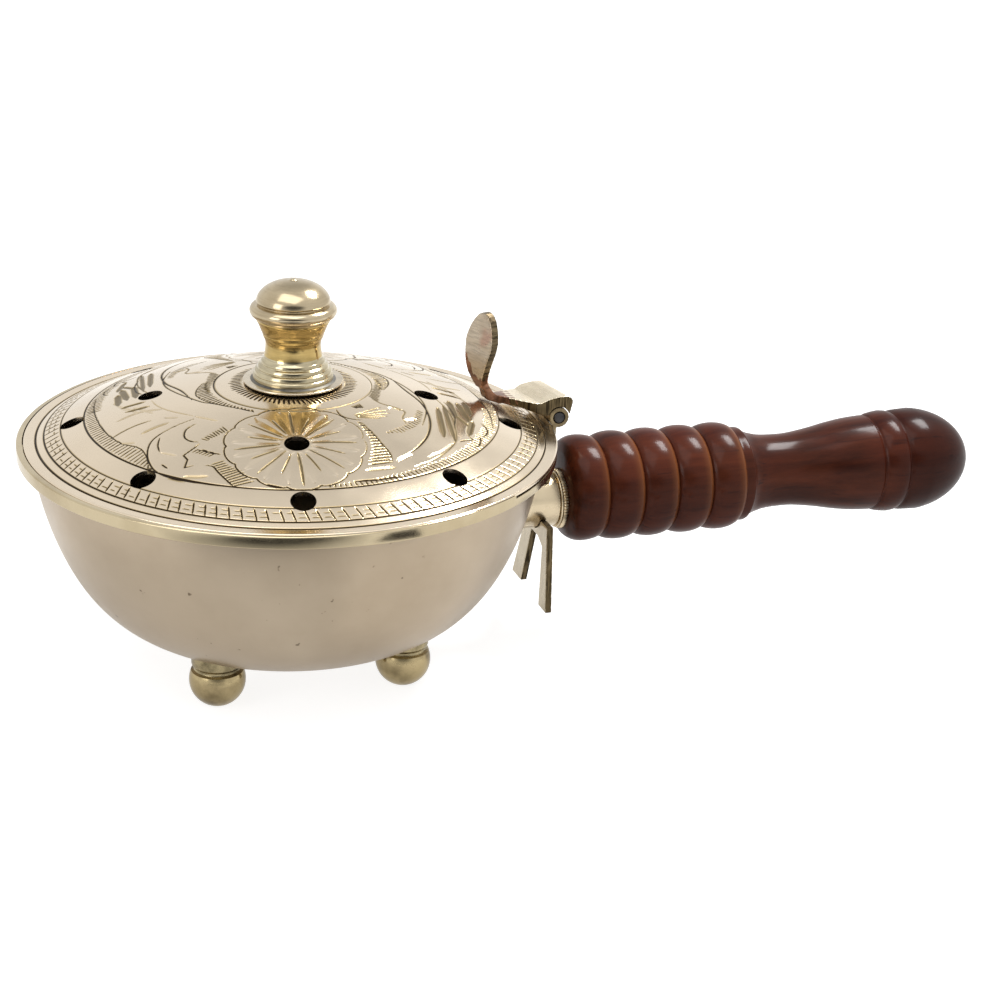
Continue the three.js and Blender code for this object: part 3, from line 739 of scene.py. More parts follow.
# %% Border rings and ladder
rim_groove = 71.55
ladder_outside = 69.28
ladder_inside = 64.62
ladder_dashes = (66.3, 67.8)
rungs = 126
rung_lean = 1.1
rung_slip = 0.25
dash_share = 0.85
dash_length = 1.7
ring_line(rim_groove, 0.5, 0.32)
ring_line(ladder_outside, 0.4)
ring_line(ladder_inside, 0.36)
ring_line(field_edge, 0.42, 0.3)
for i in range(rungs):
    at = 360 * i / rungs + random.uniform(-rung_slip, rung_slip)
    stroke([polar(ladder_inside + 0.5, at - rung_lean), polar(ladder_outside - 0.3, at)], 0.42, 0.28)
    for radius in ladder_dashes:
        if random.random() < dash_share:
            start = at + 0.5
            ring_line(radius, 0.26, 0.14, start, start + dash_length + random.uniform(-0.3, 0.3), 0.85)
print("strokes so far:", len(strokes))

# %% Ring of cuts round the knob
knob_ring = 13.4
knob_ticks = 76
tick_start = 14.3
tick_end = 17.7
tick_lean = 2.0
ring_line(crown_edge, 0.4, 0.28)
ring_line(knob_ring, 0.35)
for i in range(knob_ticks):
    at = 360 * i / knob_ticks
    stroke([polar(tick_start, at), polar(tick_end + random.uniform(-0.3, 0.3), at + tick_lean)], 0.52, 0.34)
print("strokes so far:", len(strokes))

# %% [markdown]
# The open flower: sixteen furrows fan out from the smoke hole, long and short in turn, and a wavy line
# closes the petals.

# %% Open flowers
def repeated(*motifs):
    """Draws each motif and its copy on the far half of the lid"""
    for motif in motifs:
        first = len(strokes)
        motif()
        for points, half, depth, ink in strokes[first:]:
            strokes.append((-points, half, depth, ink))
    print("strokes so far:", len(strokes))


def flower():
    """Furrows from the heart to the wavy edge, with a broad shallow facet between each two"""
    heart = np.array((-8.4, -37.9))
    petals = 16
    first_petal = -97
    lobes = 13
    wavy_edge = 18.2
    for i in range(petals):
        turn = 360 * i / petals + first_petal
        far = 17.8 if i == 0 else (16.2 if i % 2 == 0 else 13.4)
        near = 4.3 if i % 2 == 0 else 5.2
        width = 0.62 if i % 4 == 0 else 0.45
        stroke([heart + polar(near, turn), heart + polar(far * 0.6, turn + 0.6), heart + polar(far, turn)],
               width, 0.3, 0.85)
        stroke([heart + polar(4.6, turn + 9), heart + polar(16.8, turn + 10)], 2.1, 0.2, 0.0)
    steps = lobes * 10
    edge = []
    for i in range(steps + 1):
        turn = 360 * i / steps
        swell = abs(math.sin(math.radians(turn) * lobes / 2)) ** 0.6
        edge.append(heart + polar(wavy_edge + 0.9 * swell + 0.4 * math.sin(math.radians(3 * turn)), turn))
    stroke(edge, 0.36, 0.26)


repeated(flower)


# %% [markdown]
# Left of the flower a broad leaf bends round, with a hatched ground between it and the border. Below it a
# scroll encloses a curled leaf with a toothed edge.

# %% Broad leaf and scroll
def broad_leaf():
    ground_inside = curve([(-51.5, 24), (-53.6, 15), (-54.4, 6), (-54.2, -4), (-53, -11), (-51, -17),
                           (-47.6, -22), (-46.6, -27), (-47, -33)])
    ground_outside = [polar(field_edge - 0.5, degrees) for degrees in np.linspace(155, 216.5, 30)]
    hatch(ground_outside, ground_inside, 44)
    stroke(ground_inside, 0.32, 0.22)
    bent([(-53.4, -11.8), (-50, -10.2), (-46, -9.2), (-42, -9.2)], 0.45, 0.26, 0.8)
    bent([(-45.5, -15.2), (-42, -14.2), (-38, -13.8)], 0.9, 0.24, 0.35)
    bent([(-50, -2.5), (-44, -1.5), (-38, -4)], 0.9, 0.2, 0.2)
    bent([(-51.5, -16.4), (-49.8, -17.6), (-48, -18.8)], 0.6, 0.3, 0.25)
    stroke([(-38.4, -10.2), (-35, -12.4)], 0.5, 0.26, 0.2)
    stroke([(-30.6, -14.4), (-25.8, -19.8)], 0.6, 0.34, 0.25)
    bent([(-39.2, 4.5), (-38.5, -1), (-36, -7), (-31, -14)], 0.3, 0.18, 0.45)
    bent([(-40.6, 12.6), (-41.3, 17), (-40.6, 23), (-38.5, 29)])
    for radius, start in ((47.5, 172), (44.5, 176), (50, 166)):
        stroke([polar(radius, start), polar(radius - 3.5, start + 11)], 0.8, 0.18, 0.2)


def ring_ground():
    bent([(-29, 30), (-32.8, 21), (-33.6, 13), (-32, 5), (-29.3, -2), (-27, -6.5), (-25, -8.5),
          (-21.5, -12.5), (-15.4, -19)])
    inside = [polar(crown_edge + 1.4, degrees) for degrees in np.linspace(160, 228, 24)]
    outside = curve([(-24.2, 8), (-26.5, 4), (-27.6, 0), (-27, -4), (-25, -8), (-21.5, -12.5),
                     (-15.6, -18.6)])
    stroke(outside, 0.32, 0.22)
    hatch(inside, outside, 26, 0.4, 0.28)


def scroll():
    bent([(-31.4, -15.6), (-36, -16.6), (-41, -18.6), (-44.2, -21.4), (-46, -26), (-46.4, -31), (-45.4, -36),
          (-42, -41), (-36, -46), (-28, -51), (-20, -54.4), (-13, -56.4)], 0.38, 0.26)
    bent([(-41.6, -20.6), (-42.8, -24), (-43, -27.4)])
    stroke([(-42.8, -28), (-39.4, -31.6)], 0.5, 0.32, 0.2)
    bent([(-31.4, -18.6), (-34.4, -20.4), (-35.6, -24), (-34.6, -26.8), (-32.6, -28.4)], 0.4, 0.26)
    stroke([(-32.4, -29), (-34, -30.4), (-37.6, -32.6), (-37, -35), (-38.4, -38), (-36.2, -38.2)], 0.42, 0.28)
    stroke([(-43.6, -33.5), (-42.6, -36)], 0.4, 0.26)
    stroke([(-39.5, -41.6), (-36, -43.4), (-33.6, -44.2)], 1.0, 0.2, 0.35)
    hatch([(-31.5, -27), (-25.2, -23.6)], [(-30.3, -28.8), (-24.4, -26.6)], 9, 0.36, 0.24)
    for i in range(6):
        reach = 1.5 + 0.5 * (i % 2)
        start = np.array((-35.2 + 0.7 * i, -32.4 - 0.75 * i))
        stroke([start, start + (reach, 0.6), start + (reach + 1.2, -0.5)], 0.34, 0.24)
    hatch(curve([(-31.6, -40), (-30.6, -43), (-30, -46), (-28.6, -50.6)]),
          curve([(-28.2, -39.6), (-26.8, -43), (-24.6, -46), (-22.8, -50.4)]), 12, 0.42, 0.28)
    bent([(-33, -39.6), (-31.4, -41), (-30.6, -44), (-28.8, -49), (-27.8, -51.2)], 0.38, 0.26)
    stroke([(-20, -52.6), (-15.8, -55.2)], 0.5, 0.3)


repeated(broad_leaf, ring_ground, scroll)


# %% [markdown]
# Right of the flower two crescents sweep round a fan-shaped leaf, and next to the hinge the engraver used a
# broad graver for deep wedge cuts that flash gold and brown.

# %% Crescents, fan leaf and wedges
def crescents():
    bent([(29.4, 3), (30.6, -6), (32.8, -15), (32.9, -22), (31.6, -29), (28.6, -36), (24, -42), (19.4, -46)],
         0.5, 0.3)
    bent([(38, -8), (39.6, -16), (39.8, -23), (38.4, -31), (36.6, -36.6), (32.6, -42), (27.4, -46.8),
          (21, -50.4)], ink=0.8)
    bent([(35.5, -38), (31, -42.6), (26, -46)], 0.9, 0.2, 0.2)
    stroke([(16.8, -48.2), (22, -44.8)], 1.0, 0.36, 0.1)


def wedges():
    """Each wedge is given by its two ends and half its width before it was opened out"""
    opened = 1.25
    for start, end, half in (((37.2, -17.6), (33.8, -35), 1.0), ((39.6, -15), (36.4, -36.4), 0.8),
                             ((42.4, -11), (41.0, -22.5), 1.2), ((44.8, -11.5), (44.4, -23.5), 1.2),
                             ((41.2, -20.5), (43.4, -26.5), 0.8), ((45.6, -23), (41.8, -32), 1.0),
                             ((41, -5.2), (47.4, -6.2), 0.8), ((40.6, -0.8), (46.8, -2), 0.8),
                             ((47.6, -9.4), (46.2, -19), 1.2)):
        stroke([start, end], half * opened, 0.5, 0.8)
    bent([(37.8, -36.4), (40, -35.2), (42.2, -34.2), (41.2, -32)])
    bent([(44, -31), (45, -32.6), (43.4, -36.6), (41.6, -38)])
    bent([(48.2, -23), (49, -25), (48.6, -28), (46.6, -31)])


def fan_leaf():
    heart = np.array((8.6, -27))
    for far, degrees in ((9.2, -3), (11.4, 4), (13, 12), (13.6, 20), (12.4, 29)):
        stroke([heart + polar(2.6, degrees), heart + polar(far, degrees)], 0.5, 0.26, 0.7)
    bent([(6.6, -22.4), (7, -25.4), (9, -27.6), (12.4, -28.6)])
    bent([(18.6, -15.4), (20.6, -18.4), (23.4, -20), (26, -22.6), (24.4, -26.4), (24.4, -30)], ink=0.8)
    stroke([(22, -20.8), (25.6, -21.6)], 1.0, 0.4, 0.08)
    stroke([(24.6, -27.8), (28.4, -26.6)], 1.0, 0.4, 0.08)
    hatch([(18, -35.6), (22, -34.6), (26, -32.2), (29, -28.6), (31.4, -22.4)],
          [(17.6, -34.6), (21.2, -32.4), (24.4, -29.8), (27.4, -26.4), (30, -21)], 17, 0.36, 0.24)
    hatch([(18.4, -13.2), (20.4, -9), (23, -3), (23.6, 1)],
          [(20, -17), (22.6, -10.4), (24.6, -4), (25, 1)], 18)
    hatch([(11.2, -20.4), (14, -18.8)], [(12.8, -21.6), (14.4, -21.4)], 5, 0.4, 0.28)


def wedge_ground():
    first = curve([(10.6, -29.6), (11.4, -34), (11.8, -38.6), (11.2, -43), (8.4, -49.6)])
    second = curve([(12, -30.4), (13.6, -36), (14.6, -40.6), (15.6, -45), (15.2, -48.8)])
    hatch(first, second, 16, 0.55, 0.34)
    stroke(second, 0.36, 0.24)
    stroke([(7.2, -52), (15.4, -51)], 1.0, 0.2, 0.4)
    stroke([(2.8, -56), (9, -55.8), (16.6, -54.4)], 0.55, 0.32)
    outside = [polar(field_edge - 0.5, degrees) for degrees in np.linspace(-94, -12, 60)]
    inside = [polar(field_edge - 1.6 - 3.2 * share, -94 + 82 * share) for share in np.linspace(0, 1, 60)]
    hatch(outside, inside, 58, 0.42, 0.28)


repeated(crescents, wedges, fan_leaf, wedge_ground)


# %% [markdown]
# A furrow is V-shaped: its depth falls off evenly from the middle line to its edge, and it runs out thin at
# both ends. For each stroke only the points of the net near it are measured. A second attribute marks where
# the torch heated the lid, round the neck of the hinge strap that is soldered there.

# %% Cut the furrows into the net
torch_place = (54.5, -5.0)
torch_reach = 5.5
upper_skin = 0.12
end_share = 4
blunt_end = 0.35
ink_spread = 3.4


def furrow(place, points, half):
    """How deep a stroke is at each place: 1 on its middle line and 0 beside it"""
    steps, far = measured(points)
    deepest = np.zeros(len(place))
    for i, (a, b) in enumerate(zip(points, points[1:])):
        way = b - a
        share = np.clip((place - a) @ way / max(way @ way, 1e-9), 0, 1)
        distance = np.hypot(*(place - a - share[:, None] * way).T)
        gone = (far[i] + share * steps[i]) / far[-1]
        width = half * np.clip(end_share * np.minimum(gone, 1 - gone) + blunt_end, 0, 1)
        deepest = np.maximum(deepest, np.clip(1 - distance / width, 0, 1))
    return deepest


def set_values(mesh, name, values):
    """Keeps one number for each point of a mesh, for its finish to read"""
    mesh.attributes.new(name, "FLOAT", "POINT").data.foreach_set("value", values)


def engrave(ring):
    """Pushes the upper face of a ring down along every stroke, and keeps the ink and the torch's heat"""
    count = len(ring.data.vertices)
    places = np.empty(count * 3)
    ring.data.vertices.foreach_get("co", places)
    places = places.reshape(-1, 3) / MM
    x, y = places[:, 0] - lid_x, places[:, 1]
    radius = np.hypot(x, y)
    top = np.sqrt(dome_radius ** 2 - np.minimum(radius, dome_base) ** 2) - dome_radius + lid_rise
    upper = np.flatnonzero(places[:, 2] > rim_top + top - upper_skin)
    flat = np.stack([x[upper], y[upper]], -1)
    depth = np.zeros(len(upper))
    ink = np.zeros(len(upper))
    for points, half, deep, dark in strokes:
        low, high = points.min(0) - half, points.max(0) + half
        near = np.flatnonzero(((flat > low) & (flat < high)).all(1))
        if len(near):
            shape = furrow(flat[near], points, half)
            depth[near] = np.maximum(depth[near], deep * shape)
            ink[near] = np.maximum(ink[near], dark * np.clip(ink_spread * shape, 0, 1))
    places[upper, 2] -= depth
    ring.data.vertices.foreach_set("co", (places * MM).ravel())
    darkness = np.zeros(count)
    darkness[upper] = ink
    set_values(ring.data, "ink", darkness)
    from_torch = np.hypot(x - torch_place[0], y - torch_place[1])
    set_values(ring.data, "heat", np.clip(1.2 - from_torch / torch_reach, 0, 1))
    ring.data.update()
    smooth(ring, 40)
    return int((depth > 0).sum())


for ring in lid_rings:
    moved = engrave(ring)
    ring.data.materials.clear()
    set_up(ring, "lid", "lid_assembly", lid_brass)
    print(ring.name, "points moved by the graver:", moved)

# %% [markdown]
# ## The knob
# The knob is turned from bar: a stepped foot, a slim throat, a bold bead and a low cap with a tiny pip. Its
# boss disc is soldered to the lid. The deep throat was hard to reach with the polishing cloth, so it kept a
# golden skin, and the faces of each finish are picked by their height.

# %% Turn the boss disc and the knob
boss_low, boss_high = size_of("knob_boss")
knob_low, knob_high = size_of("knob")
screw_bore = 2.3
boss_outline = ring_outline(screw_bore, boss_high.y, boss_low.z, boss_high.z, 0.25)
boss = turned("boss_disc", boss_outline, (lid_x, 0, 0), 160)
knob_foot = eased(
    [
        (0, 0), (11.3, 0), (11.3, 1.35), (10.9, 1.6), (10.9, 1.75), (11.05, 1.9), (10.75, 2.9),
        (10.0, 3.2), (9.95, 3.35), (10.1, 3.5), (9.8, 4.3), (9.1, 4.7), (9.05, 4.85), (9.15, 5.0),
        (8.95, 5.7), (8.45, 6.1),
    ],
    0.2,
)
knob_throat = [(8.15, 7.0), (7.95, 8.0), (7.8, 9.2), (7.75, 10.3), (7.85, 11.2), (8.2, 12.1), (8.5, 12.6)]
knob_bead = arc((10.5, 19.9), (1.7, 1.75), -90, 90, 10)
knob_steps = eased(
    [(8.6, 12.9), (8.6, 13.4), (8.9, 13.9), (9.3, 14.9), (9.7, 15.9), (9.8, 16.2), (10.3, 17.0),
     (10.3, 17.6)],
    0.25,
)
cap_foot = 22.15
cap_top = knob_high.z - knob_low.z - 0.35
knob_cap = arc((0, cap_foot), (10.4, cap_top - cap_foot), 4, 84, 16)
knob_pip = [(1.0, cap_top), (0.85, cap_top + 0.2), (0.5, cap_top + 0.32), (0, cap_top + 0.35)]
knob_crease = [(9.9, 21.75), (9.9, 22.0)]
knob_outline = knob_foot + knob_throat + knob_steps + knob_bead + knob_crease + knob_cap + knob_pip
knob = turned("turned_knob", knob_outline, (lid_x, 0, knob_low.z), 160)
foot_end = 7.5
throat_end = 17.8
set_up(boss, "knob_boss", "lid_assembly", disc_brass)
set_up(knob, "knob", "lid_assembly", knob_foot_brass, knob_throat_brass, knob_cap_brass)
for face in knob.data.polygons:
    height = face.center.z / MM - knob_low.z
    face.material_index = 0 if height < foot_end else (1 if height < throat_end else 2)
print("faces:", finish_counts(knob))

# %% [markdown]
# Solder left a dark grey bead where the knob meets its disc. It is dull and slightly lumpy.

# %% Lay the solder seam
seam_outline = closed([(11.2, 0), (12.0, 0.02), (11.8, 0.2), (11.4, 0.4), (11.2, 0.45)])
knob_seam = turned("knob_solder", seam_outline, (lid_x, 0, boss_high.z - 0.02), 120)
set_up(knob_seam, None, "lid_assembly", solder)
print("seam faces:", len(knob_seam.data.polygons))

# %% [markdown]
# ## Hinge, strap and thumb leaf
# These plates were sawn, bent and filed by hand, so no edge is sharp. Each starts as a copy of its solid,
# is built again from cubes of about a fifth of a millimetre, and smoothed, which wears every edge alike.

# %% File the hinge pieces
strap_brass = brass("strap brass", (0.84, 0.74, 0.56), (0.60, 0.50, 0.35), 0.24, 0.1, 110, 0.5,
                    (0.3, 0.3, 3.0), 0.3, 0.12)
leaf_brass = brass("thumb leaf brass", (0.50, 0.42, 0.32), (0.33, 0.26, 0.19), 0.27, 0.1, 120, 0.5,
                   (0.25, 0.25, 3.0), 0.5, 0.3, 900, tint=((0.42, 0.28, 0.21), 80, 0.6))
# Edges of the thumb leaf: dark partly from tarnish and partly as painted shade
leaf_edge_shade_brass = brass("leaf edge brass with painted shade", (0.20, 0.15, 0.085), (0.035, 0.025, 0.015), 0.3, 0.12, 150, 0.9,
                        (0.12, 0.12, 1.0), 0.8, 0.8, 1400)
copper_stain = brass("copper stained brass", (0.31, 0.16, 0.10), (0.07, 0.04, 0.03), 0.3, 0.12, 160, 0.85,
                     (0.6, 0.6, 1.2), 0.4, 0.4)

filed_pieces = {
    "hinge_strap": ("strap_and_thumb_leaf", "lid_assembly", strap_brass, 0.22, 3),
    "strap_knuckle": ("middle_knuckle", "lid_assembly", aged_brass, 0.16, 2),
    "hinge_leaf": ("fixed_leaf", "pan", aged_brass, 0.18, 3),
    "forked_rest": ("fork_rest", "pan", plate_brass, 0.22, 3),
    "saddle_washer": ("wedge_washer", "pan", aged_brass, 0.18, 3),
}
for node, (name, body, material, grain, passes) in filed_pieces.items():
    piece = filed(node, name, grain, passes)
    set_up(piece, node, body, material)
    print(name, "faces:", len(piece.data.polygons))

# %% [markdown]
# The sawn edges of the plates are striped from the file and dark, partly from tarnish and partly as painted
# shade on the edge faces, and the bend was stained copper-red by the torch. Both are picked face by face, by
# the way the face looks and by its height over the pin.

# %% Darken the sawn edges with painted shade and stain the bend
pin_low, pin_high = size_of("hinge_pin")
pin_middle = (pin_low + pin_high) / 2
bend_top = 10.5
bend_low = 3.5
bend_back = -13.5
leaf_start = bend_top + 5
edge_on = 0.55
side_on = 0.6
strap_skew = math.radians(12.5)
leaf_twist = math.radians(20)
strap_side = Vector((-math.sin(strap_skew), math.cos(strap_skew), 0))
leaf_front = Vector((math.cos(leaf_twist), math.sin(leaf_twist), 0))
strap = bpy.data.objects["strap_and_thumb_leaf"]
for material in (sawn_edge_shade_brass, leaf_brass, leaf_edge_shade_brass, copper_stain):
    strap.data.materials.append(material)
leaf_side = Vector((-math.sin(leaf_twist), math.cos(leaf_twist), 0))
leaf_reach = [face.center.dot(leaf_side) / MM for face in strap.data.polygons
              if face.center.z / MM - pin_middle.z > leaf_start]
leaf_heart = (min(leaf_reach) + max(leaf_reach)) / 2
# Side faces of the strap and edge faces of the thumb leaf get the dark edge finishes, partly painted shade
for face in strap.data.polygons:
    place = face.center / MM - pin_middle
    ragged = 0.8 * math.sin(place.x * 2.3 + place.z) + 0.6 * math.sin(place.y * 3.1)
    left = face.center.dot(leaf_side) / MM - leaf_heart
    stain_top = bend_top + 1 + ragged + max(0, 1.5 * left)
    if place.x < bend_back + ragged and bend_low < place.z < stain_top:
        face.material_index = 4
    elif place.z > bend_top:
        face.material_index = 3 if abs(face.normal.dot(leaf_front)) < edge_on else 2
    elif abs(face.normal.dot(strap_side)) > side_on:
        face.material_index = 1
fork = bpy.data.objects["fork_rest"]
fork.data.materials.append(sawn_edge_shade_brass)
# Side faces of the fork get the dark edge finish, partly painted shade
for face in fork.data.polygons:
    if abs(face.normal.x) < edge_on:
        face.material_index = 1
print("faces:", finish_counts(strap), finish_counts(fork))

# %% Turn the hinge pin
pin_radius = (pin_high.z - pin_low.z) / 2
pin_half = pin_high.y
pin_outline = eased([(0, -pin_half), (pin_radius, -pin_half), (pin_radius, pin_half), (0, pin_half)], 0.35)
pin = turned("steel_pin", pin_outline, (0, 0, 0), 64)
pin.data.transform(Matrix.Rotation(math.pi / 2, 4, "X"))
pin.data.transform(Matrix.Translation(pin_middle * MM))
set_up(pin, "hinge_pin", "pan", steel, slot="steel")
print("pin radius", round(pin_radius, 2))

# %% [markdown]
# ## Socket, washers and ribbed ring
# A short tube stands off the bowl and carries the handle. Its end was filed to the curve of the bowl, which
# a boolean does here with the bowl's own outline. A thin washer and a ring with fine ribs close the joint
# against the wood.

# %% Turn the socket and the washer
socket_low, socket_high = size_of("handle_socket")
socket_z = (socket_low.z + socket_high.z) / 2
socket_radius = socket_high.y
socket_start = socket_high.x - 9.3
socket_end = socket_start - 12
rod_bore = 2.8
socket_outline = eased(
    [
        (rod_bore, socket_end + 2), (rod_bore, socket_end), (socket_radius, socket_end),
        (socket_radius, socket_high.x), (rod_bore, socket_high.x), (rod_bore, socket_end + 2),
    ],
    0.25,
)
socket = turned("socket_tube", socket_outline, (0, 0, socket_z), 128, lying=True)
fit_to_bowl(socket, -0.05, 240)
washer_low, washer_high = size_of("handle_washer")
washer = turned("flat_washer", ring_outline(rod_bore, washer_high.y, washer_low.x, washer_high.x, 0.15),
                (0, 0, socket_z), 128, lying=True)
set_up(socket, "handle_socket", "pan", socket_brass)
set_up(washer, "handle_washer", "pan", socket_brass)
print("socket radius", round(socket_radius, 2))

# %% Cut the ribbed ring
ring_low, ring_high = size_of("ribbed_ring")
ribs = 60
rib_depth = 0.045
ribbed = turned("ribbed_collar", ring_outline(rod_bore, ring_high.y, ring_low.x, ring_high.x, 0.2),
                (0, 0, socket_z), 4 * ribs, lying=True)
for vertex in ribbed.data.vertices:
    y, z = vertex.co.y, vertex.co.z - socket_z * MM
    reach = math.hypot(y, z)
    if reach > 0.9 * ring_high.y * MM:
        wave = 0.5 - 0.5 * math.cos(ribs * math.atan2(z, y))
        fit = 1 - rib_depth * wave
        vertex.co.y = y * fit
        vertex.co.z = z * fit + socket_z * MM
smooth(ribbed, 30)
set_up(ribbed, "ribbed_ring", "pan", socket_brass)
print("ribs:", ribs)

# %% [markdown]
# The fixings inside the bowl and lid only show when the lid is open. They are copies of their solids with a
# bevelled edge.

# %% Bevel the inner fixings
for node, (name, body) in {
    "rod_nut": ("hexagon_nut", "pan"),
    "handle_rod": ("long_rod", "pan"),
    "knob_washer": ("screw_washer", "lid_assembly"),
    "knob_screw": ("round_screw", "lid_assembly"),
}.items():
    piece = copied(node, name)
    finish_modifier(piece, "BEVEL", width=0.25 * MM, segments=2, limit_method="ANGLE",
                    angle_limit=math.radians(50))
    smooth(piece, 40)
    set_up(piece, node, body, steel, slot="steel")
    print(name, "faces:", len(piece.data.polygons))

# %% [markdown]
# ## The wooden handle
# The handle was turned from a dark red-brown hardwood: five fat beads, a long waist, two grooves with a
# rounded collar between them, and a round end. The varnish is thick and glossy over a streaky grain.

# %% Turn the handle
handle_low, handle_high = size_of("wooden_handle")
handle_z = (handle_low.z + handle_high.z) / 2
bead_pitch = 10.95
bead_tops = [15.9, 16.3, 16.3, 16.3, 16.25]
bead_steps = 13
bead_fullness = 0.55
bead_valley = 14.3
shoulder = 12.2
handle_outline = [(0, 0), (11.6, 0), (12.0, 0.15)]
for i, top in enumerate(bead_tops):
    middle = bead_pitch * (i + 0.5)
    for j in range(1, bead_steps):
        share = -1 + 2 * j / bead_steps
        swell = (1 - share ** 2) ** bead_fullness
        foot = shoulder if i == 0 and share < 0 else bead_valley
        handle_outline.append((foot + (top - foot) * swell, middle + share * bead_pitch / 2))
    handle_outline.append((bead_valley, middle + bead_pitch / 2))
beads_end = bead_pitch * len(bead_tops)
waist_points = [(14.25, 0.3), (14.25, 2.6), (13.7, 3.2), (12.7, 5.0), (12.0, 7.2), (11.4, 10.0), (11.1, 14.0),
                (11.1, 19.0), (11.6, 23.5), (12.4, 28.5), (13.3, 33.0), (14.1, 38.0), (14.5, 42.0),
                (14.7, 45.6)]
waist = curve([(radius, beads_end + far) for radius, far in waist_points], 4)
first_groove = beads_end + 46.5
second_groove = first_groove + 8.2
grooves = eased(
    [
        (14.7, first_groove - 0.9), (14.1, first_groove), (14.8, first_groove + 0.7),
        (15.25, first_groove + 1.8), (15.55, first_groove + 3.4), (15.75, first_groove + 5.2),
        (15.6, second_groove - 1.5), (15.3, second_groove - 0.7), (14.75, second_groove),
        (15.2, second_groove + 0.7), (15.6, second_groove + 1.6),
    ],
    0.3,
)
handle_length = handle_high.x - handle_low.x
bulb_middle = second_groove + 4
bulb = arc((0, bulb_middle), (16.0, handle_length - bulb_middle), 8, 90, 26)
handle_outline += [tuple(point) for point in waist] + grooves + bulb[:-1] + [(0, handle_length)]
handle = turned("turned_handle", handle_outline, (handle_low.x, 0, handle_z), 192, lying=True)
print("handle length", round(handle_length, 1), "faces", len(handle.data.polygons))


# %% [markdown]
# The flank of each bead that faces the round end is painted lighter, as painted light where the lamps catch
# the beads. The round end itself is darker. Both are kept as attributes for the finish.

# %% Paint light on the bead flanks and darken the round end
brightest_flank_light = 0.75
darkest_end = 0.62
darkening_run = 12
bulb_start = handle_low.x + first_groove
# Painted light: how far each bead flank faces the round end, where the lamps light it
worn = [max(0, min(brightest_flank_light, 1.4 * vertex.normal.x - 0.2))
        * (vertex.co.x < handle_low.x * MM + beads_end * MM) for vertex in handle.data.vertices]
# The round end darkens evenly, starting at the first groove
deep = [darkest_end * max(0, min(1, (vertex.co.x / MM - bulb_start) / darkening_run))
        for vertex in handle.data.vertices]
set_values(handle.data, "worn", worn)
set_values(handle.data, "deep", deep)
print("points with painted flank light:", sum(value > 0 for value in worn))


# %% [markdown]
# The grain runs along the handle, so the noise is stretched along X. Broad dark bands, fine streaks and
# short dark pores are mixed, and a clear coat gives the varnish its own sharp gloss.

# %% Varnished hardwood
def hardwood():
    finish = Finish("varnished hardwood")
    bands = finish.range(finish.noise(30, 5, (0.5, 1, 1)), 0.35, 0.68)
    streaks = finish.range(finish.noise(120, 6, (0.09, 1, 1), 0.65), 0.3, 0.72)
    pores = finish.range(finish.noise(520, 2, (0.06, 1, 1)), 0.62, 0.75)
    body = finish.mix(bands, (0.012, 0.003, 0.002), (0.072, 0.013, 0.007))
    body = finish.mix(finish.math("MULTIPLY", streaks, 0.5), body, (0.18, 0.042, 0.016))
    # Painted light: the bead flanks that face the round end are mixed to a lighter orange
    body = finish.mix(finish.attribute("worn"), body, (0.23, 0.08, 0.026))
    body = finish.mix(finish.math("MULTIPLY", pores, 0.7), body, (0.02, 0.006, 0.005))
    # The round end is mixed darker
    body = finish.mix(finish.attribute("deep"), body, (0.008, 0.0015, 0.001))
    finish.surface({"Base Color": body, "Roughness": finish.range(streaks, 0, 1, 0.38, 0.28)})
    finish.surface({"Specular IOR Level": 0.03, "Coat Weight": 0.17, "Coat Roughness": 0.16, "Coat IOR": 1.5})
    finish.bump(pores, 0.15, 0.04)
    finish.bump(finish.noise(60, 3, (0.4, 1, 1)), 0.12, 0.12)
    return finish.material


set_up(handle, "wooden_handle", "pan", hardwood(), slot="hardwood")
print("handle varnished")

# %% [markdown]
# ## The studio
# A white floor in a pale room, with three soft lamps: a large one overhead, one high over the handle that
# glints on the varnish, and a dim one from the side. Floor and sky are brighter for the camera and for
# mirrors than for the light that they throw on things, so white stays white and the brass keeps its tones.

# %% White floor
bpy.context.scene.view_settings.view_transform = "Standard"
floor_glow = 0.84


def white_floor():
    """Pale matt cloth that keeps a shadow, and glows for the camera and more softly for mirrors"""
    finish = Finish("white floor")
    cloth = finish.range(finish.noise(40, 3), 0.3, 0.7)
    colour = finish.mix(cloth, (0.40, 0.40, 0.40), (0.42, 0.42, 0.42))
    finish.surface({"Base Color": colour, "Roughness": 0.9, "Specular IOR Level": 0.0})
    level = finish.range(finish.from_middle(), 0.25, 1.0, 0.58, 0.8)
    ray = finish.nodes.new("ShaderNodeLightPath").outputs
    mirrored = finish.math("MULTIPLY", ray["Is Glossy Ray"], level)
    through = finish.math("MULTIPLY", ray["Is Transmission Ray"], level)
    straight = finish.math("MULTIPLY", ray["Is Camera Ray"], floor_glow)
    seen = finish.math("MAXIMUM", finish.math("MAXIMUM", mirrored, through), straight)
    glow = finish.node("Emission", "Emission", {"Strength": seen})
    both = finish.node("AddShader", "Shader", {0: finish.shader.outputs["BSDF"], 1: glow})
    finish.feed(finish.nodes["Material Output"].inputs["Surface"], both)
    return finish.material


bpy.ops.mesh.primitive_plane_add(size=8, location=(0, 0, 0))
floor = bpy.context.object
floor.name = "floor"
floor.data.materials.append(white_floor())
print("floor laid")

# %% Pale room
room_light = 0.55
world = bpy.data.worlds.new("white studio")
bpy.context.scene.world = world
world.use_nodes = True
room = Wires(world.node_tree)
ray = room.nodes.new("ShaderNodeLightPath").outputs
seen = room.math("MAXIMUM", ray["Is Camera Ray"], ray["Is Glossy Ray"])
seen = room.math("MAXIMUM", seen, ray["Is Transmission Ray"])
sky = room.nodes["Background"].inputs
sky["Color"].default_value = (1, 1, 1, 1)
room.feed(sky["Strength"], room.range(seen, 0.0, 1.0, room_light, 1.0))
print("room light:", room_light)


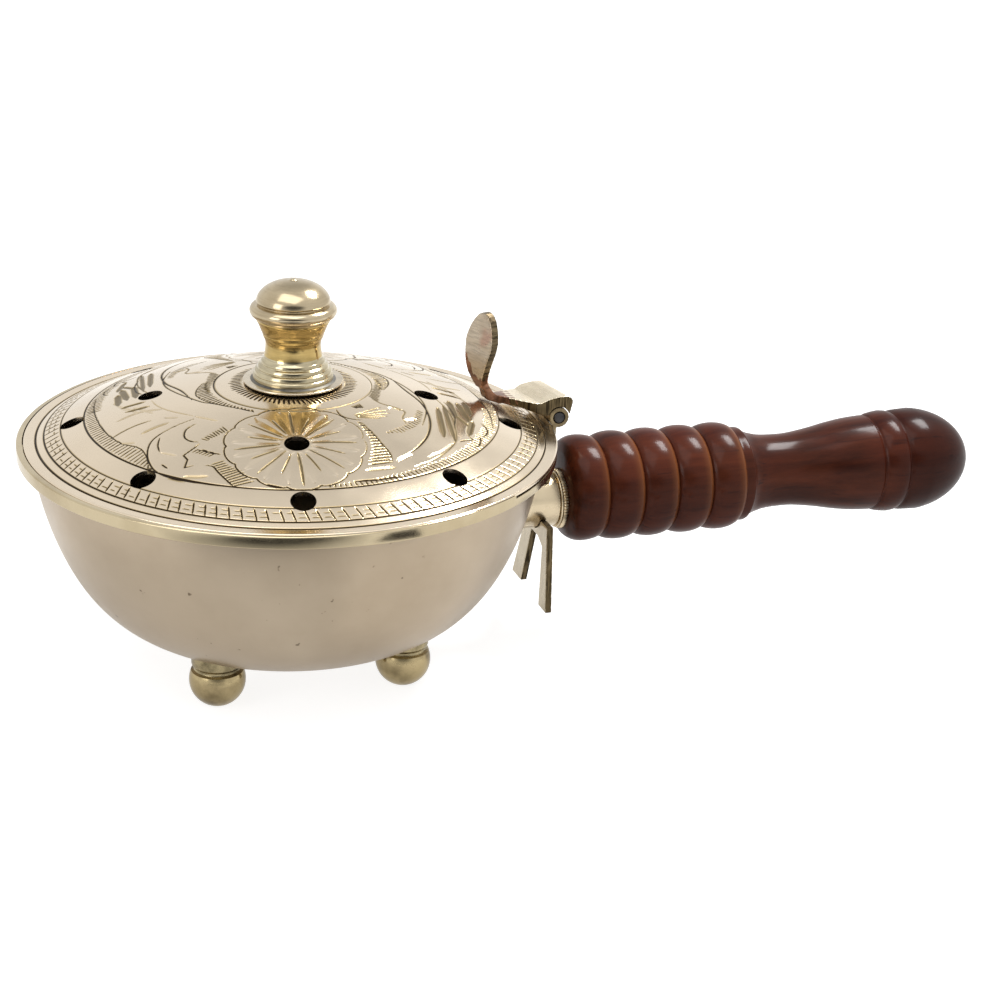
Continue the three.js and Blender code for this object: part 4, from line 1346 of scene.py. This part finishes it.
# %% [markdown]
# Five soft-edged cards stand where a photographer's room, table and window would be, so that the polished
# brass has something to mirror. Only reflections see them.

# %% Cards
def card(name, place, turn, width, height, level, around):
    """A card that only reflections see: as bright as level in its middle, and as around at its edge"""
    bpy.ops.mesh.primitive_plane_add(size=2, location=place, rotation=turn)
    panel = bpy.context.object
    panel.name = name
    panel.scale = (width / 2, height / 2, 1)
    panel.visible_camera = False
    panel.visible_shadow = False
    panel.visible_diffuse = False
    finish = Finish(name)
    fade = finish.range(finish.from_middle(), 0.45, 1.0, level, around)
    glow = finish.node("Emission", "Emission", {"Strength": fade})
    finish.feed(finish.nodes["Material Output"].inputs["Surface"], glow)
    panel.data.materials.append(finish.material)


upright = math.radians(90)
card("room_card", (-0.45, -1.7, 0.75), (upright, 0, math.radians(-15)), 3.2, 1.5, 0.12, 1.0)
card("table_card", (-0.15, -0.30, 0.001), (0, 0, math.radians(19)), 0.30, 0.42, 0.05, 0.95)
card("ceiling_card", (0.32, 0.96, 1.28), (math.radians(-37), 0, 0), 2.0, 1.5, 0.72, 1.0)
card("window_card", (1.1, 1.6, 0.45), (upright, 0, math.radians(-35)), 1.6, 0.9, 1.22, 1.0)
card("note_card", (0.034, -0.214, 0.002), (0, 0, math.radians(34)), 0.055, 0.11, 0.03, 0.06)


# %% Lamps
def lamp(name, place, aim, width, height, power):
    """A soft rectangular lamp at a place, turned to its aim"""
    data = bpy.data.lights.new(name, "AREA")
    data.shape = "RECTANGLE"
    data.size = width
    data.size_y = height
    data.energy = power
    light = bpy.data.objects.new(name, data)
    light.location = place
    light.rotation_euler = (Vector(aim) - Vector(place)).to_track_quat("-Z", "Y").to_euler()
    bpy.context.scene.collection.objects.link(light)


middle = (0, 0, 0.06)
lamp("top_softbox", (-0.3, -0.3, 1.3), middle, 1.2, 0.9, 6)
lamp("streak_softbox", (0.62, 0.22, 1.0), (0.08, 0, 0.05), 0.44, 0.30, 13)
lamp("side_softbox", (-1.1, -0.5, 0.5), middle, 0.5, 0.6, 2.5)
print("lamps:", len(bpy.data.lights))
